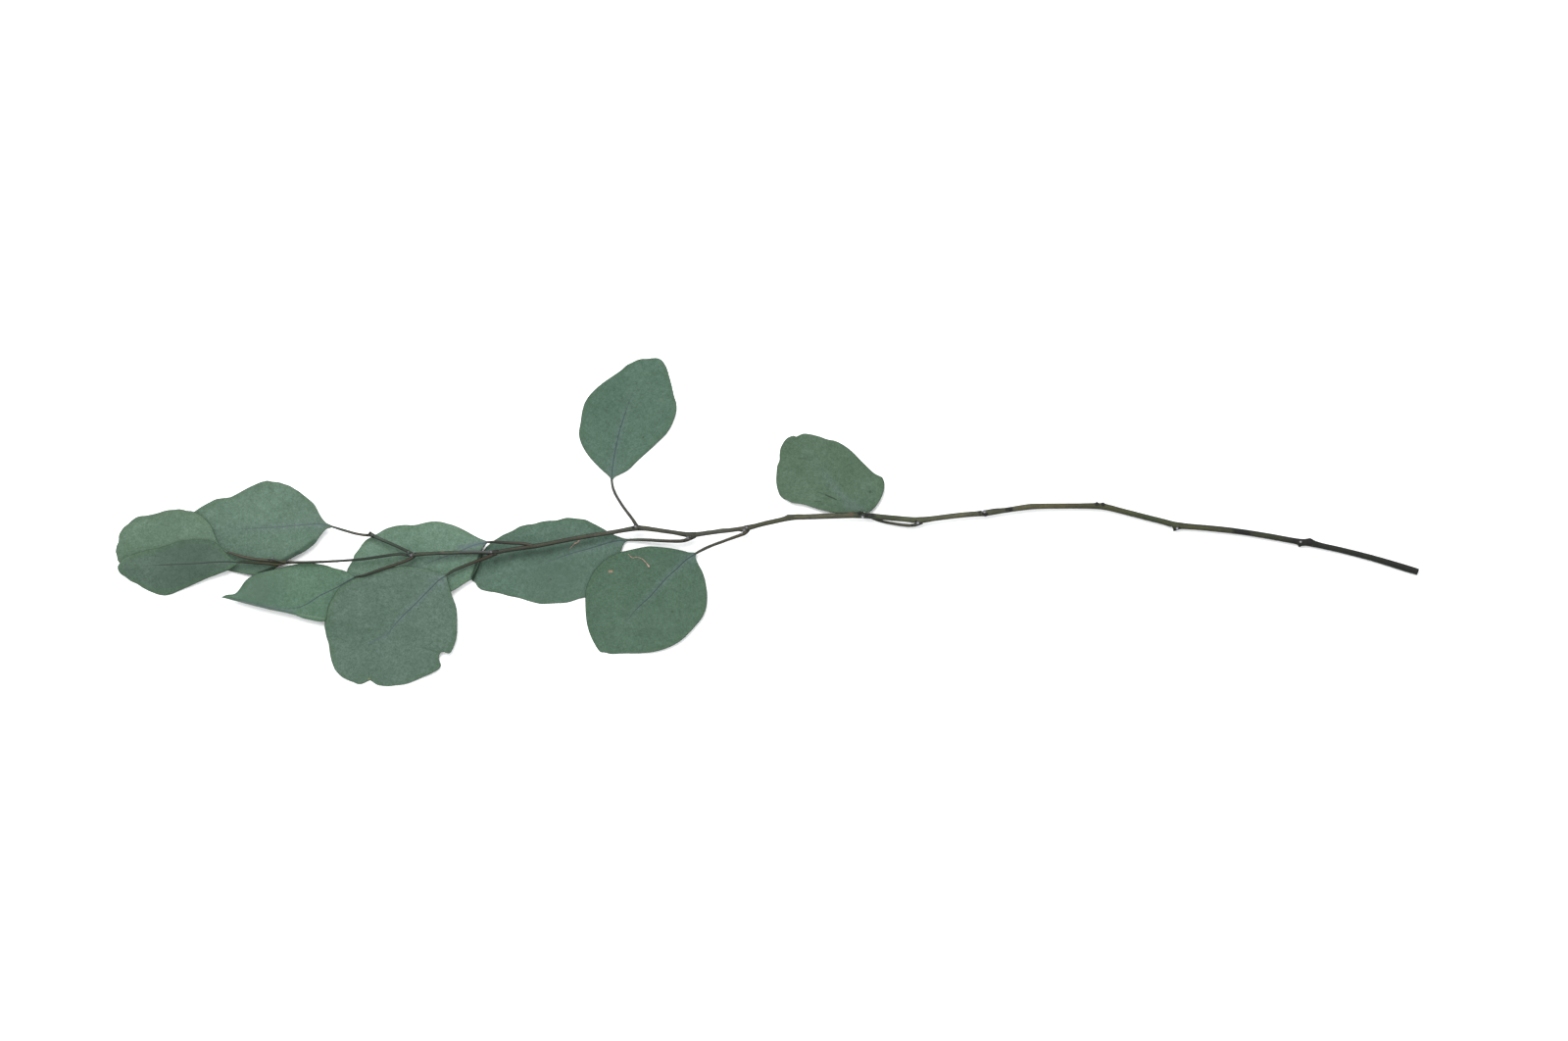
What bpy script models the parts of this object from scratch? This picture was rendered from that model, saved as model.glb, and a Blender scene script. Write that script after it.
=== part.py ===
"""Eucalyptus branch: a cut stem with ten leaves, lying on a table.

Metres, +Z up. The table is the plane z = 0, the stem's cut end is at +X and its
growing end at -X. Plan positions are given on a layout grid of half a millimetre,
x to the right and y downwards, and heights in millimetres above the table.
"""
import bpy
import bmesh
import numpy as np
from mathutils import Vector

# ---------------------------------------------------------------- driving dimensions
GRID = 0.0005                 # one step of the layout grid
CENTRE = (783.37, 532.61)     # the grid point that lies over the origin
MM = 0.001

BLADE_THICKNESS = 0.00050     # a leathery eucalyptus blade
BLADE_ROWS = 16               # sections from the stalk to the tip
BLADE_COLUMNS = 9             # points across a section
TIP_SHARE = 0.94              # the share of each margin that the long sections use
CURL_POWER = 1.6              # how late, towards the margin, a blade bends up or down
STALK_ROWS = 6                # sections along a leaf stalk

STEM_SIDES_RESOLUTION = 2     # bevel resolution of the stem's tube, eight sides
BUD_SEGMENTS = 8
BUD_RINGS = 6

# ---------------------------------------------------------------- the stem and its twigs
# Each point: grid x, grid y, height of the centre line (mm), radius (mm).
MAIN_STEM = [
    (1447.2, 583.7, 1.70, 1.66), (1430.5, 578.6, 1.74, 1.62), (1415.2, 573.9, 1.80, 1.56),
    (1399.9, 569.4, 1.88, 1.48), (1384.4, 565.3, 1.95, 1.45), (1369.0, 561.5, 2.05, 1.44),
    (1353.3, 558.0, 2.15, 1.46), (1343.0, 555.7, 2.22, 1.54), (1334.0, 553.8, 2.28, 1.64),
    (1326.0, 552.9, 2.34, 1.52), (1314.1, 550.8, 2.40, 1.40), (1298.5, 547.9, 2.50, 1.40),
    (1282.7, 545.2, 2.60, 1.37), (1266.9, 542.8, 2.70, 1.34), (1251.0, 540.8, 2.78, 1.36),
    (1235.1, 539.2, 2.86, 1.34), (1219.2, 537.8, 2.92, 1.34), (1209.0, 537.0, 2.98, 1.42),
    (1201.5, 536.2, 3.00, 1.50), (1195.0, 534.6, 3.03, 1.42), (1187.7, 532.5, 3.06, 1.34),
    (1172.1, 528.6, 3.14, 1.33), (1156.7, 524.6, 3.20, 1.32), (1141.2, 520.6, 3.27, 1.34),
    (1131.5, 518.1, 3.32, 1.42), (1124.5, 516.8, 3.36, 1.46), (1117.0, 516.4, 3.40, 1.40),
    (1101.6, 516.4, 3.50, 1.31), (1077.6, 516.5, 3.62, 1.31), (1061.6, 516.7, 3.72, 1.34),
    (1053.0, 517.0, 3.78, 1.44), (1045.7, 517.8, 3.80, 1.42), (1037.8, 519.0, 3.84, 1.32),
    (1022.0, 521.3, 3.94, 1.32), (1014.0, 522.3, 4.00, 1.48), (1006.0, 523.6, 4.05, 1.50),
    (998.1, 524.3, 4.12, 1.30), (982.2, 525.6, 4.25, 1.26), (966.3, 527.4, 4.37, 1.25),
    (950.5, 529.5, 4.50, 1.28), (941.0, 530.7, 4.60, 1.42), (933.5, 530.8, 4.70, 1.40),
    (926.5, 530.1, 4.78, 1.26), (910.6, 528.7, 5.00, 1.26), (900.0, 527.7, 5.12, 1.26),
    (888.0, 526.6, 5.30, 1.30), (879.0, 526.0, 5.42, 1.36), (870.0, 525.9, 5.48, 1.30),
    (855.0, 526.3, 5.53, 1.26), (838.8, 526.9, 5.58, 1.25), (822.8, 527.5, 5.62, 1.26),
    (811.0, 527.8, 5.67, 1.34), (805.0, 528.6, 5.70, 1.36), (799.0, 530.1, 5.73, 1.16),
    (788.5, 532.5, 5.78, 1.12), (776.8, 535.2, 5.84, 1.12), (768.0, 537.6, 5.88, 1.18),
    (761.5, 539.2, 5.90, 1.34), (753.3, 540.0, 5.95, 1.10), (741.4, 541.5, 6.02, 1.08),
    (735.4, 542.0, 6.06, 1.15), (729.5, 542.9, 6.12, 1.08), (717.6, 544.6, 6.24, 1.10),
    (710.5, 545.5, 6.32, 1.22), (704.5, 545.9, 6.38, 1.34), (697.0, 545.0, 6.45, 1.14),
    (687.8, 543.4, 6.53, 1.01), (675.9, 541.7, 6.65, 1.02), (664.0, 540.0, 6.76, 1.06),
    (657.0, 539.2, 6.82, 1.14), (650.5, 538.9, 6.92, 1.28), (643.5, 540.0, 7.02, 1.14),
    (634.4, 541.6, 7.12, 1.02), (624.0, 543.4, 7.25, 1.00), (600.0, 547.2, 7.50, 0.98),
    (580.0, 550.8, 7.75, 0.96), (560.0, 554.8, 7.95, 0.94), (546.0, 557.4, 8.10, 0.98),
    (535.0, 559.0, 8.20, 0.90), (520.0, 561.2, 8.35, 0.90), (510.0, 562.9, 8.44, 0.96),
    (503.0, 563.8, 8.50, 0.98), (490.0, 563.7, 8.60, 0.82), (470.0, 563.9, 8.75, 0.80),
    (450.0, 564.5, 8.90, 0.80), (432.0, 565.4, 9.00, 0.82), (423.5, 566.0, 9.05, 0.94),
]
UPPER_TWIG = [
    (418.6, 563.6, 9.05, 0.68), (411.0, 560.2, 8.85, 0.66), (404.0, 556.9, 8.68, 0.66),
    (397.0, 553.9, 8.48, 0.68), (390.0, 550.9, 8.30, 0.72), (384.5, 548.3, 8.10, 0.80),
    (380.0, 546.2, 7.95, 0.98), (377.6, 544.6, 7.90, 0.84),
]
TERMINAL_TWIG = [
    (417.4, 567.0, 9.00, 0.58), (411.0, 565.6, 8.90, 0.56), (402.5, 566.0, 8.78, 0.56),
    (392.5, 567.4, 8.63, 0.56), (382.6, 568.9, 8.48, 0.55), (372.7, 570.3, 8.33, 0.54),
    (362.7, 571.3, 8.20, 0.53), (352.8, 572.0, 8.08, 0.52), (340.3, 572.8, 7.95, 0.52),
    (325.3, 573.5, 7.82, 0.52), (310.0, 573.9, 7.70, 0.53), (298.0, 574.0, 7.60, 0.56),
    (289.5, 573.6, 7.55, 0.62), (283.5, 572.0, 7.50, 0.50), (277.6, 570.4, 7.50, 0.40),
]
# Dormant buds and leaf scars that stand out of the main stem:
# grid x, grid y, height (mm), radius (mm).
BUDS = [
    (1336.5, 550.9, 2.6, 0.95), (1326.0, 556.3, 2.4, 0.95), (1199.6, 539.6, 3.0, 1.00),
    (1198.2, 541.6, 2.9, 0.62), (1119.8, 514.9, 3.6, 0.85), (1125.6, 515.2, 3.7, 0.80),
    (1031.5, 519.4, 4.4, 0.95), (1004.6, 524.6, 4.7, 1.05), (878.6, 525.0, 6.2, 0.90),
    (805.6, 526.9, 5.9, 0.85),
]

# ---------------------------------------------------------------- the leaves
# stalk: grid x, grid y, height (mm), radius (mm), from the stem to the blade.
# mid: the midrib in plan, from the stalk to the tip. one, two: the two margins, which end
# at the midrib's last point. lift: heights (mm) along margin one, the midrib and margin two,
# at equal steps from the stalk to the tip.
LEAVES = {
    "leaf_upright": {
        "stalk": [(648.9, 535.0, 6.70, 0.82), (646.3, 530.6, 6.26, 0.72), (643.6, 526.9, 5.80, 0.66),
                  (637.7, 519.1, 4.70, 0.63), (632.0, 510.6, 3.60, 0.60), (627.3, 502.2, 2.45, 0.59),
                  (625.4, 497.0, 1.75, 0.60), (624.3, 490.5, 1.02, 0.60)],
        "mid": [(624.2, 489.8), (625, 478), (627, 465), (630, 450), (632, 441), (635, 431), (640, 416),
                (648, 396), (656, 379), (665, 365.8)],
        "one": [(622.6, 487.6), (620.3, 484.4), (616, 480.2), (610, 474.5), (600, 463), (593, 450), (591.5, 443), (593, 432), (595, 419),
                (597, 412), (600, 406.5), (605, 400.5), (615, 391.5), (625, 384.5), (635, 377.5),
                (640, 373), (645, 370.5), (650, 368), (655, 366.7), (660, 366.6), (665, 365.8)],
        "two": [(625.9, 488.2), (628.2, 486), (631.5, 484), (635.5, 482), (640, 479.5), (650, 470), (660, 461), (670, 451.5), (680, 441.5),
                (686, 431), (689.5, 420), (689.7, 413), (687, 403), (684, 390), (682, 383), (680, 376),
                (678, 372), (675, 368), (671, 366), (665, 365.8)],
        "lift": [(0.9, 0.9, 1.2, 0.9, 0.5, 0.3), (0.9, 0.2, 0.1, 0.1, 0.1, 0.2),
                 (0.9, 0.5, 0.8, 1.2, 0.9, 0.3)],
    },
    "leaf_beside_stem": {
        "stalk": [(930.0, 536.1, 3.40, 0.66), (921.5, 535.6, 3.05, 0.64), (912.0, 534.2, 2.80, 0.63),
                  (902.0, 532.3, 2.62, 0.62), (893.0, 529.6, 2.50, 0.60), (885.5, 526.3, 2.45, 0.57),
                  (879.2, 522.6, 2.45, 0.52)],
        "mid": [(878, 521.8), (870, 515), (862, 508), (855, 501), (848, 492), (838, 479), (828, 465),
                (813, 446)],
        "one": [(870, 522.7), (860, 523), (852, 522.5), (845, 521.3), (838, 519.5), (830, 517),
                (822, 514.5), (815, 513), (809, 512.3), (804, 510), (800, 508), (797, 505.5),
                (794.5, 500), (793, 493), (793.2, 482), (794, 475), (796, 470), (796.3, 463),
                (797, 458), (799, 453.5), (802, 449), (806, 446.2), (810.5, 445.2), (813, 446)],
        "two": [(886, 522.4), (890, 519.5), (895, 514), (899, 507), (901, 502), (902, 496), (901.5, 491),
                (900, 487.5), (897, 486), (893, 484), (885, 477), (877, 469), (868, 460), (862, 455.5),
                (857, 452.5), (852, 450.3), (845, 449), (835, 445.5), (825, 443.3), (820, 443),
                (817, 444), (813, 446)],
        "lift": [(2.45, 3.0, 3.2, 2.2, 1.0, 0.3), (2.45, 2.4, 1.9, 1.3, 0.7, 0.3),
                 (2.45, 3.0, 3.1, 2.0, 1.0, 0.3)],
    },
    "leaf_lower_right": {
        "stalk": [(760.0, 543.9, 5.60, 0.84), (755.5, 545.9, 5.40, 0.72), (746.2, 549.3, 4.95, 0.68),
                  (736.7, 552.8, 4.35, 0.66), (727.4, 556.2, 3.75, 0.66), (718.2, 560.2, 3.15, 0.68),
                  (711.2, 563.9, 2.75, 0.66)],
        "mid": [(710.0, 564.6), (700, 571.5), (690, 581), (680, 590), (671, 600), (662, 610), (652, 619),
                (640, 633), (629, 649), (618, 665.3)],
        "one": [(706.4, 563.5), (703.5, 563.7), (700, 563.2), (693, 561.5), (685, 560), (677, 559), (670, 558.3), (663, 558),
                (655, 559), (648, 560.5), (641, 562), (635, 563.5), (628, 566), (620, 570), (612, 577),
                (606, 584), (602, 592), (599, 600), (598, 608), (598, 616), (598.3, 625), (600, 638),
                (602, 645), (604, 650), (607, 656), (610, 661), (613, 664.5), (618, 665.3)],
        "two": [(710.0, 567.4), (710.3, 570.4), (712.3, 576), (716, 583), (718.5, 590), (720, 598), (721, 605), (721, 612),
                (720, 620), (717, 628), (709, 638.5), (703, 645), (697, 651), (690, 656), (682, 660),
                (675, 662.5), (667, 664.5), (658, 665.5), (650, 666), (640, 666), (630, 666.3),
                (624, 666.6), (618, 665.3)],
        "lift": [(2.7, 3.3, 3.3, 2.5, 1.2, 0.2), (2.7, 2.1, 1.6, 1.1, 0.6, 0.2),
                 (2.7, 2.4, 2.9, 2.8, 1.2, 0.2)],
    },
    "leaf_middle": {
        "stalk": [(701.6, 550.4, 6.00, 0.82), (697.2, 551.7, 5.75, 0.78), (690.0, 552.1, 5.30, 0.74),
                  (682.1, 552.0, 4.80, 0.71), (672.2, 551.5, 4.15, 0.69), (660.0, 550.8, 3.35, 0.66),
                  (650.0, 550.6, 2.75, 0.65), (641.6, 550.8, 2.25, 0.62)],
        "mid": [(640.6, 550.9), (625, 552.7), (612, 556.5), (600, 560), (580, 565.5), (560, 572.5),
                (540, 577), (520, 581), (500, 586), (481.4, 590.6)],
        "one": [(637, 549.4), (632, 548.2), (624, 545), (618, 541.5), (611, 537.5), (604, 534), (598, 531), (590, 529.8),
                (583, 529), (577, 529), (572, 530.5), (568, 531.5), (560, 531.8), (552, 533), (545, 535),
                (537, 536), (530, 538), (525, 541), (520, 543.5), (514, 546), (508, 549.8), (503, 553),
                (499.3, 556.2), (496.3, 559.2), (494.2, 562.2), (490, 568), (486, 576), (483, 584), (481.4, 590.6)],
        "two": [(638.6, 553.0), (636.4, 555), (634.8, 557.8), (632.4, 563.8), (629, 573), (623, 584), (615, 594), (606, 602.5),
                (597, 608.5), (590, 610.5), (583, 613), (576, 614.5), (568, 614.8), (560, 615.3),
                (553, 615.5), (545, 614), (538, 612), (530, 609.5), (520, 607.5), (513, 605.5),
                (505, 603.6), (497, 602.4), (490.6, 600.4), (487.4, 597.4), (485.8, 594.4), (483.4, 592.6), (481.4, 590.6)],
        "lift": [(2.0, 2.2, 2.4, 2.1, 1.3, 0.6), (2.0, 1.6, 1.3, 1.0, 0.8, 0.6),
                 (2.0, 0.9, 0.4, 0.2, 0.2, 0.5)],
    },
    "leaf_inner": {
        "stalk": [(532.0, 554.4, 7.95, 0.68), (521.0, 554.0, 7.55, 0.66), (510.0, 553.2, 7.10, 0.63),
                  (503.0, 552.9, 6.72, 0.60), (498.0, 553.1, 6.38, 0.56)],
        "mid": [(497, 553), (485, 556), (470, 562), (450, 569.5), (430, 577), (408, 584), (384, 590),
                (358, 595)],
        "one": [(490, 550), (483, 546.5), (476, 542.5), (470, 539.5), (463, 536.5), (456, 534.5),
                (450, 533), (445, 532.5), (438, 533), (431, 534.5), (425, 536), (411, 536.2), (402, 537.5),
                (392, 541), (388, 543.5), (378, 549), (374, 551.5), (370, 556), (368, 559), (365, 563),
                (362, 567), (361, 571), (358, 576), (355, 582), (354, 588), (358, 595)],
        "two": [(493, 557), (491, 562), (490, 568), (488.5, 574), (486, 580), (483, 586), (480.5, 590.5),
                (475, 594), (469, 598), (463, 601.5), (450, 606.5), (438, 608.5), (425, 609), (410, 608),
                (395, 605.5), (380, 602), (368, 598.5), (358, 595)],
        "lift": [(6.3, 5.6, 4.9, 4.2, 3.6, 3.0), (6.3, 5.6, 4.8, 4.2, 3.6, 3.0),
                 (6.3, 4.6, 3.8, 3.4, 3.2, 3.0)],
    },
    "leaf_lower_large": {
        "stalk": [(497.6, 568.4, 8.24, 0.84), (490.0, 571.3, 8.18, 0.74), (480.0, 575.1, 8.08, 0.67),
                  (470.0, 579.1, 7.94, 0.64), (462.0, 582.6, 7.76, 0.62), (456.8, 586.2, 7.57, 0.58)],
        "mid": [(455.5, 587), (450, 590.5), (440, 600), (430, 610), (420, 620), (410, 629.5), (400, 641),
                (390, 655), (383, 672), (378, 693.5)],
        "one": [(452, 585.6), (448, 584.6), (440, 582.5), (432, 580.5), (424, 579), (416, 578.5),
                (408, 578.4), (400, 579.2), (392, 581), (384, 583.8), (376, 586.4), (368, 589), (361, 591.4),
                (353, 595.5), (345, 602), (341, 609), (337, 616), (335, 623), (334, 630), (332, 637),
                (333, 645), (334, 650), (336, 656), (337, 664), (338, 670), (340, 677), (342, 682),
                (346, 687), (350, 690.5), (355, 693), (360, 695), (367, 697.5), (371, 696.5), (375, 694.5),
                (378, 693.5)],
        "two": [(457, 594), (458.5, 600), (460, 605.5), (462, 611), (464, 616), (465.5, 623), (466, 630),
                (466, 638), (466, 645), (465, 652), (463, 658), (461, 663), (459, 666.8), (456, 667),
                (453.2, 665.6), (450.8, 666), (449, 669), (448.5, 672), (449.8, 675.5), (450.2, 679),
                (447, 682.5), (443, 685), (438, 687.5), (432, 690), (425, 693), (418, 696), (410, 698),
                (403, 698.7), (396, 699.5), (390, 699), (385, 698), (381, 695.5), (378, 693.5)],
        "lift": [(7.5, 7.2, 7.35, 6.0, 2.6, 0.2), (7.5, 6.7, 5.3, 3.6, 1.7, 0.2),
                 (7.5, 5.8, 4.0, 2.4, 1.0, 0.2)],
    },
    "leaf_folded": {
        "stalk": [(416.6, 571.3, 8.95, 0.64), (410.0, 573.9, 8.85, 0.62), (400.0, 577.3, 8.75, 0.60),
                  (390.0, 580.6, 8.66, 0.58), (380.0, 584.1, 8.64, 0.56), (372.0, 586.9, 8.50, 0.52),
                  (363.5, 588.5, 7.15, 0.47)],
        "mid": [(362.5, 588.6), (355, 593), (344, 599.4), (333, 604.6), (325, 608.6), (318.7, 612.9),
                (311, 617.4), (304, 620.0), (297, 620.8), (285, 620.0), (270, 617.3), (255, 614.2),
                (243, 611.0), (235, 609.2), (226, 609.4)],
        "one": [(358, 585.4), (350, 582.5), (340, 580), (333, 577.5), (325, 576), (317, 575), (308, 574.7),
                (300, 575.5), (293, 577), (287, 578.4), (280, 580.9), (272, 583.4), (266, 584.9), (262, 586.2),
                (257, 588.7), (251, 593), (248, 597), (245, 601), (242.5, 605), (238, 606.6), (233, 606.4),
                (229, 607.5), (226, 609.4)],
        "two": [(361, 592), (360, 600), (357, 612), (350, 623), (341, 631), (332, 633.4), (325, 633.3),
                (318, 632), (310, 630), (303, 627), (296, 625.2), (289, 623.6), (278, 621.4), (262, 617.6),
                (250, 614.7), (240, 612.8), (233, 611), (226, 609.4)],
        "lift": [(6.9, 5.8, 5.2, 4.9, 4.7, 4.6, 4.5, 4.5, 4.6, 4.9, 5.1),
                 (6.9, 5.3, 5.1, 5.3, 6.0, 7.1, 8.2, 8.6, 8.3, 7.2, 5.2),
                 (6.9, 4.6, 4.1, 3.9, 4.5, 5.5, 6.1, 6.2, 5.8, 5.2, 5.0)],
    },
    "leaf_upper_left": {
        "stalk": [(373.4, 545.9, 7.70, 0.60), (363.6, 544.4, 7.50, 0.58), (354.0, 541.8, 7.18, 0.57),
                  (346.0, 539.4, 6.86, 0.56), (339.8, 537.4, 6.56, 0.55)],
        "mid": [(338.8, 537.1), (332, 535.3), (325, 534.9), (315, 535.2), (305, 535.9), (295, 536.8), (285, 537.6),
                (265, 538.8), (250, 539.6), (235, 541), (215, 544), (196, 549)],
        "one": [(336.3, 534.9), (333.3, 533.7), (330.8, 531.8), (328.4, 529.2), (326.2, 525.8), (324, 521.6), (320, 514.5), (315, 510), (310, 506), (305, 502),
                (300, 499), (295, 496), (290, 494.5), (285, 492.7), (278, 492), (273, 491), (268, 492),
                (258, 496), (250, 500), (240, 505.5), (236, 507.5), (230, 508.5), (220, 510), (215, 512.5),
                (205, 518), (200, 521.5), (195, 525), (191, 531), (190, 538), (192, 544), (196, 549)],
        "two": [(336.8, 538.9), (334.2, 539.2), (331.4, 540.8), (328.6, 543.7), (325.5, 547.7), (321.4, 553.6), (317.4, 557.2), (311.8, 561.3), (305.8, 565.0),
                (299.5, 568.9), (292.6, 572.9), (286, 576.8), (279.5, 580.9), (272, 584.1), (262, 586), (250, 584.9),
                (240, 583), (233, 581.5), (222, 577), (212, 570), (203, 560), (196, 549)],
        "lift": [(6.4, 3.9, 2.8, 1.7, 0.8, 0.6), (6.4, 4.8, 3.5, 2.3, 1.2, 0.7),
                 (6.4, 4.4, 3.4, 2.6, 1.3, 0.7)],
    },
    "leaf_end_upper": {
        "stalk": [(284.0, 573.3, 5.95, 0.58), (276.0, 572.0, 5.92, 0.68), (268.0, 571.3, 5.85, 0.70),
                  (260.0, 570.5, 5.78, 0.68), (250.0, 568.6, 5.60, 0.62), (241.0, 566.0, 5.42, 0.54),
                  (234.0, 563.6, 5.25, 0.46)],
        "mid": [(233, 563.2), (222, 560.8), (210, 559), (195, 558), (180, 558), (165, 558.5), (150, 559.5),
                (135, 561), (118.6, 563)],
        "one": [(228.5, 559.6), (225, 557), (221.6, 553.5), (219.8, 549.5), (217.3, 543), (214.4, 536),
                (209.6, 530.7), (206, 527), (201, 524), (197.5, 522.5), (190, 521.5), (183, 520),
                (178, 520.5), (170, 521.3), (160, 524.3), (150, 526.5), (140, 528), (136, 530.5),
                (131, 535), (127, 538), (124, 542), (122, 546), (122.4, 552), (120, 556), (119, 560),
                (118.6, 563)],
        "two": [(229, 567), (222, 573.5), (213, 579), (203, 583), (190, 586), (172, 587), (155, 585.5),
                (140, 581.5), (130, 577.8), (123.5, 574.5), (120.5, 571), (119.8, 567), (118.6, 563)],
        "lift": [(5.2, 3.5, 2.0, 1.1, 0.7, 0.6), (5.2, 4.4, 3.3, 2.3, 1.3, 0.6),
                 (5.2, 3.4, 2.3, 1.5, 0.9, 0.6)],
    },
    "leaf_end_lower": {
        "stalk": [(284.5, 575.8, 6.75, 0.56), (275.0, 575.2, 6.80, 0.60), (265.0, 574.5, 6.80, 0.60),
                  (255.0, 573.8, 6.75, 0.56), (245.0, 573.3, 6.60, 0.50)],
        "mid": [(244, 573.6), (235, 573.2), (225, 573.3), (215, 573.8), (205, 574.7), (195, 575.3),
                (185, 575.7), (175, 576), (160, 576.7), (140, 577.2), (120.4, 577.5)],
        "one": [(240, 571.6), (236, 569.3), (232, 565.5), (228, 561), (223, 556), (220, 553.5),
                (215, 551.5), (210, 550.7), (204, 550), (197, 550.6), (190, 551.5), (183, 552.3),
                (176, 554.5), (170, 557), (160, 559.5), (150, 561.5), (140, 564.5), (133, 567), (127, 570),
                (123, 574), (120.4, 577.5)],
        "two": [(240, 577), (235, 580), (232.5, 581.5), (225, 584.5), (220, 586.5), (213, 589), (205, 592.5),
                (193, 598), (186, 601), (180, 603.5), (175, 605.7), (168, 607), (163, 606.5), (157, 604.5),
                (152, 602.5), (146, 599.5), (140, 595.5), (133, 592), (128, 588), (122.5, 584),
                (120.6, 580.5), (120.4, 577.5)],
        "lift": [(6.6, 6.6, 5.9, 4.9, 3.5, 2.0), (6.6, 6.0, 5.1, 4.1, 3.0, 2.0),
                 (6.6, 4.2, 2.1, 0.7, 0.15, 1.2)],
    },
}

# ---------------------------------------------------------------- colours (linear), roughness
LEAF_COLOURS = {
    "leaf_upright": (0.110, 0.195, 0.141), "leaf_beside_stem": (0.114, 0.195, 0.138),
    "leaf_lower_right": (0.102, 0.188, 0.127), "leaf_middle": (0.120, 0.209, 0.162),
    "leaf_inner": (0.144, 0.242, 0.181), "leaf_lower_large": (0.120, 0.202, 0.156),
    "leaf_folded": (0.127, 0.223, 0.165), "leaf_upper_left": (0.127, 0.223, 0.165),
    "leaf_end_upper": (0.138, 0.238, 0.172), "leaf_end_lower": (0.098, 0.156, 0.127),
}
STEM_COLOUR = (0.070, 0.072, 0.040)
TWIG_COLOUR = (0.045, 0.045, 0.032)
LEAF_ROUGHNESS = 0.62
STEM_ROUGHNESS = 0.70


def curve_at(points, share):
    """Points at the given shares (0 to 1) of a smooth curve's length, through all its points."""
    points = np.array(points, float)
    steps = np.linalg.norm(np.diff(points[:, :2], axis=0), axis=1) if points.shape[1] > 1 else None
    knots = np.concatenate([[0.0], np.cumsum(steps)])
    return hermite(knots / knots[-1], points, np.asarray(share, float))


def level_at(levels, share):
    """Heights at the given shares (0 to 1), through levels that are equally spaced."""
    values = np.array(levels, float)[:, None]
    return hermite(np.linspace(0.0, 1.0, len(values)), values, np.asarray(share, float))[:, 0]


def hermite(knots, values, s):
    """A cubic curve through values at knots, with tangents from the neighbouring points."""
    slope = np.diff(values, axis=0) / np.diff(knots)[:, None]
    tangent = np.empty_like(values)
    tangent[0], tangent[-1] = slope[0], slope[-1]
    before, after = np.diff(knots)[:-1, None], np.diff(knots)[1:, None]
    tangent[1:-1] = (slope[:-1] * after + slope[1:] * before) / (before + after)
    i = np.clip(np.searchsorted(knots, s, side="right") - 1, 0, len(knots) - 2)
    h = (knots[i + 1] - knots[i])[:, None]
    x = ((s - knots[i]) / (knots[i + 1] - knots[i]))[:, None]
    return ((2 * x**3 - 3 * x**2 + 1) * values[i] + (x**3 - 2 * x**2 + x) * h * tangent[i]
            + (-2 * x**3 + 3 * x**2) * values[i + 1] + (x**3 - x**2) * h * tangent[i + 1])


def place(xy):
    """Layout grid to metres."""
    xy = np.asarray(xy, float)
    return np.stack([(xy[..., 0] - CENTRE[0]) * GRID, (CENTRE[1] - xy[..., 1]) * GRID], axis=-1)


def margin(leaf, side):
    """A margin in metres. It leaves the stalk's side, so the blade's first section is as wide as the stalk."""
    mid = place(leaf["mid"])
    along = mid[1] - mid[0]
    along /= np.linalg.norm(along)
    across = np.array([-along[1], along[0]])
    points = place(leaf[side])
    if (points[len(points) // 3] - mid[0]) @ across < 0:
        across = -across
    start = mid[0] + across * leaf["stalk"][-1][3] * MM
    return np.vstack([start, points])


def blade_surface(leaf, rows, columns):
    """The blade's middle surface: an array of rows x columns points."""
    even = np.linspace(0.0, 1.0, rows)
    t = 0.45 * even + 0.55 * (0.5 - 0.5 * np.cos(np.pi * even))
    v = np.linspace(-1.0, 1.0, columns)
    one, two, mid = margin(leaf, "one"), margin(leaf, "two"), place(leaf["mid"])
    edge = [curve_at(one, TIP_SHARE * t), curve_at(two, TIP_SHARE * t)]
    rib = curve_at(mid, t)
    flat = np.empty((rows, columns, 2))
    height = np.empty((rows, columns))
    lift_one, lift_mid, lift_two = [level_at(x, t) * MM for x in leaf["lift"]]
    for j, x in enumerate(v):
        side, lift = (edge[0], lift_one) if x < 0 else (edge[1], lift_two)
        flat[:, j] = rib + (side - rib) * abs(x)
        height[:, j] = lift_mid + (lift - lift_mid) * abs(x) ** CURL_POWER
    # the last section runs round the tip, and the ones before it bend towards it
    around = np.array([curve_at(one if x < 0 else two, [1.0 - (1.0 - TIP_SHARE) * abs(x)])[0] for x in v])
    flat += (t**4)[:, None, None] * (around - flat[-1])[None]
    height = np.maximum(height, BLADE_THICKNESS / 2)
    return np.concatenate([flat, height[..., None]], axis=2)


def surface_normals(grid):
    """Unit normals of a grid of points, all on the upper side."""
    du = np.gradient(grid, axis=0)
    dv = np.gradient(grid, axis=1)
    n = np.cross(du, dv)
    n /= np.maximum(np.linalg.norm(n, axis=2, keepdims=True), 1e-12)
    return np.where(n[..., 2:3] < 0, -n, n)


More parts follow.
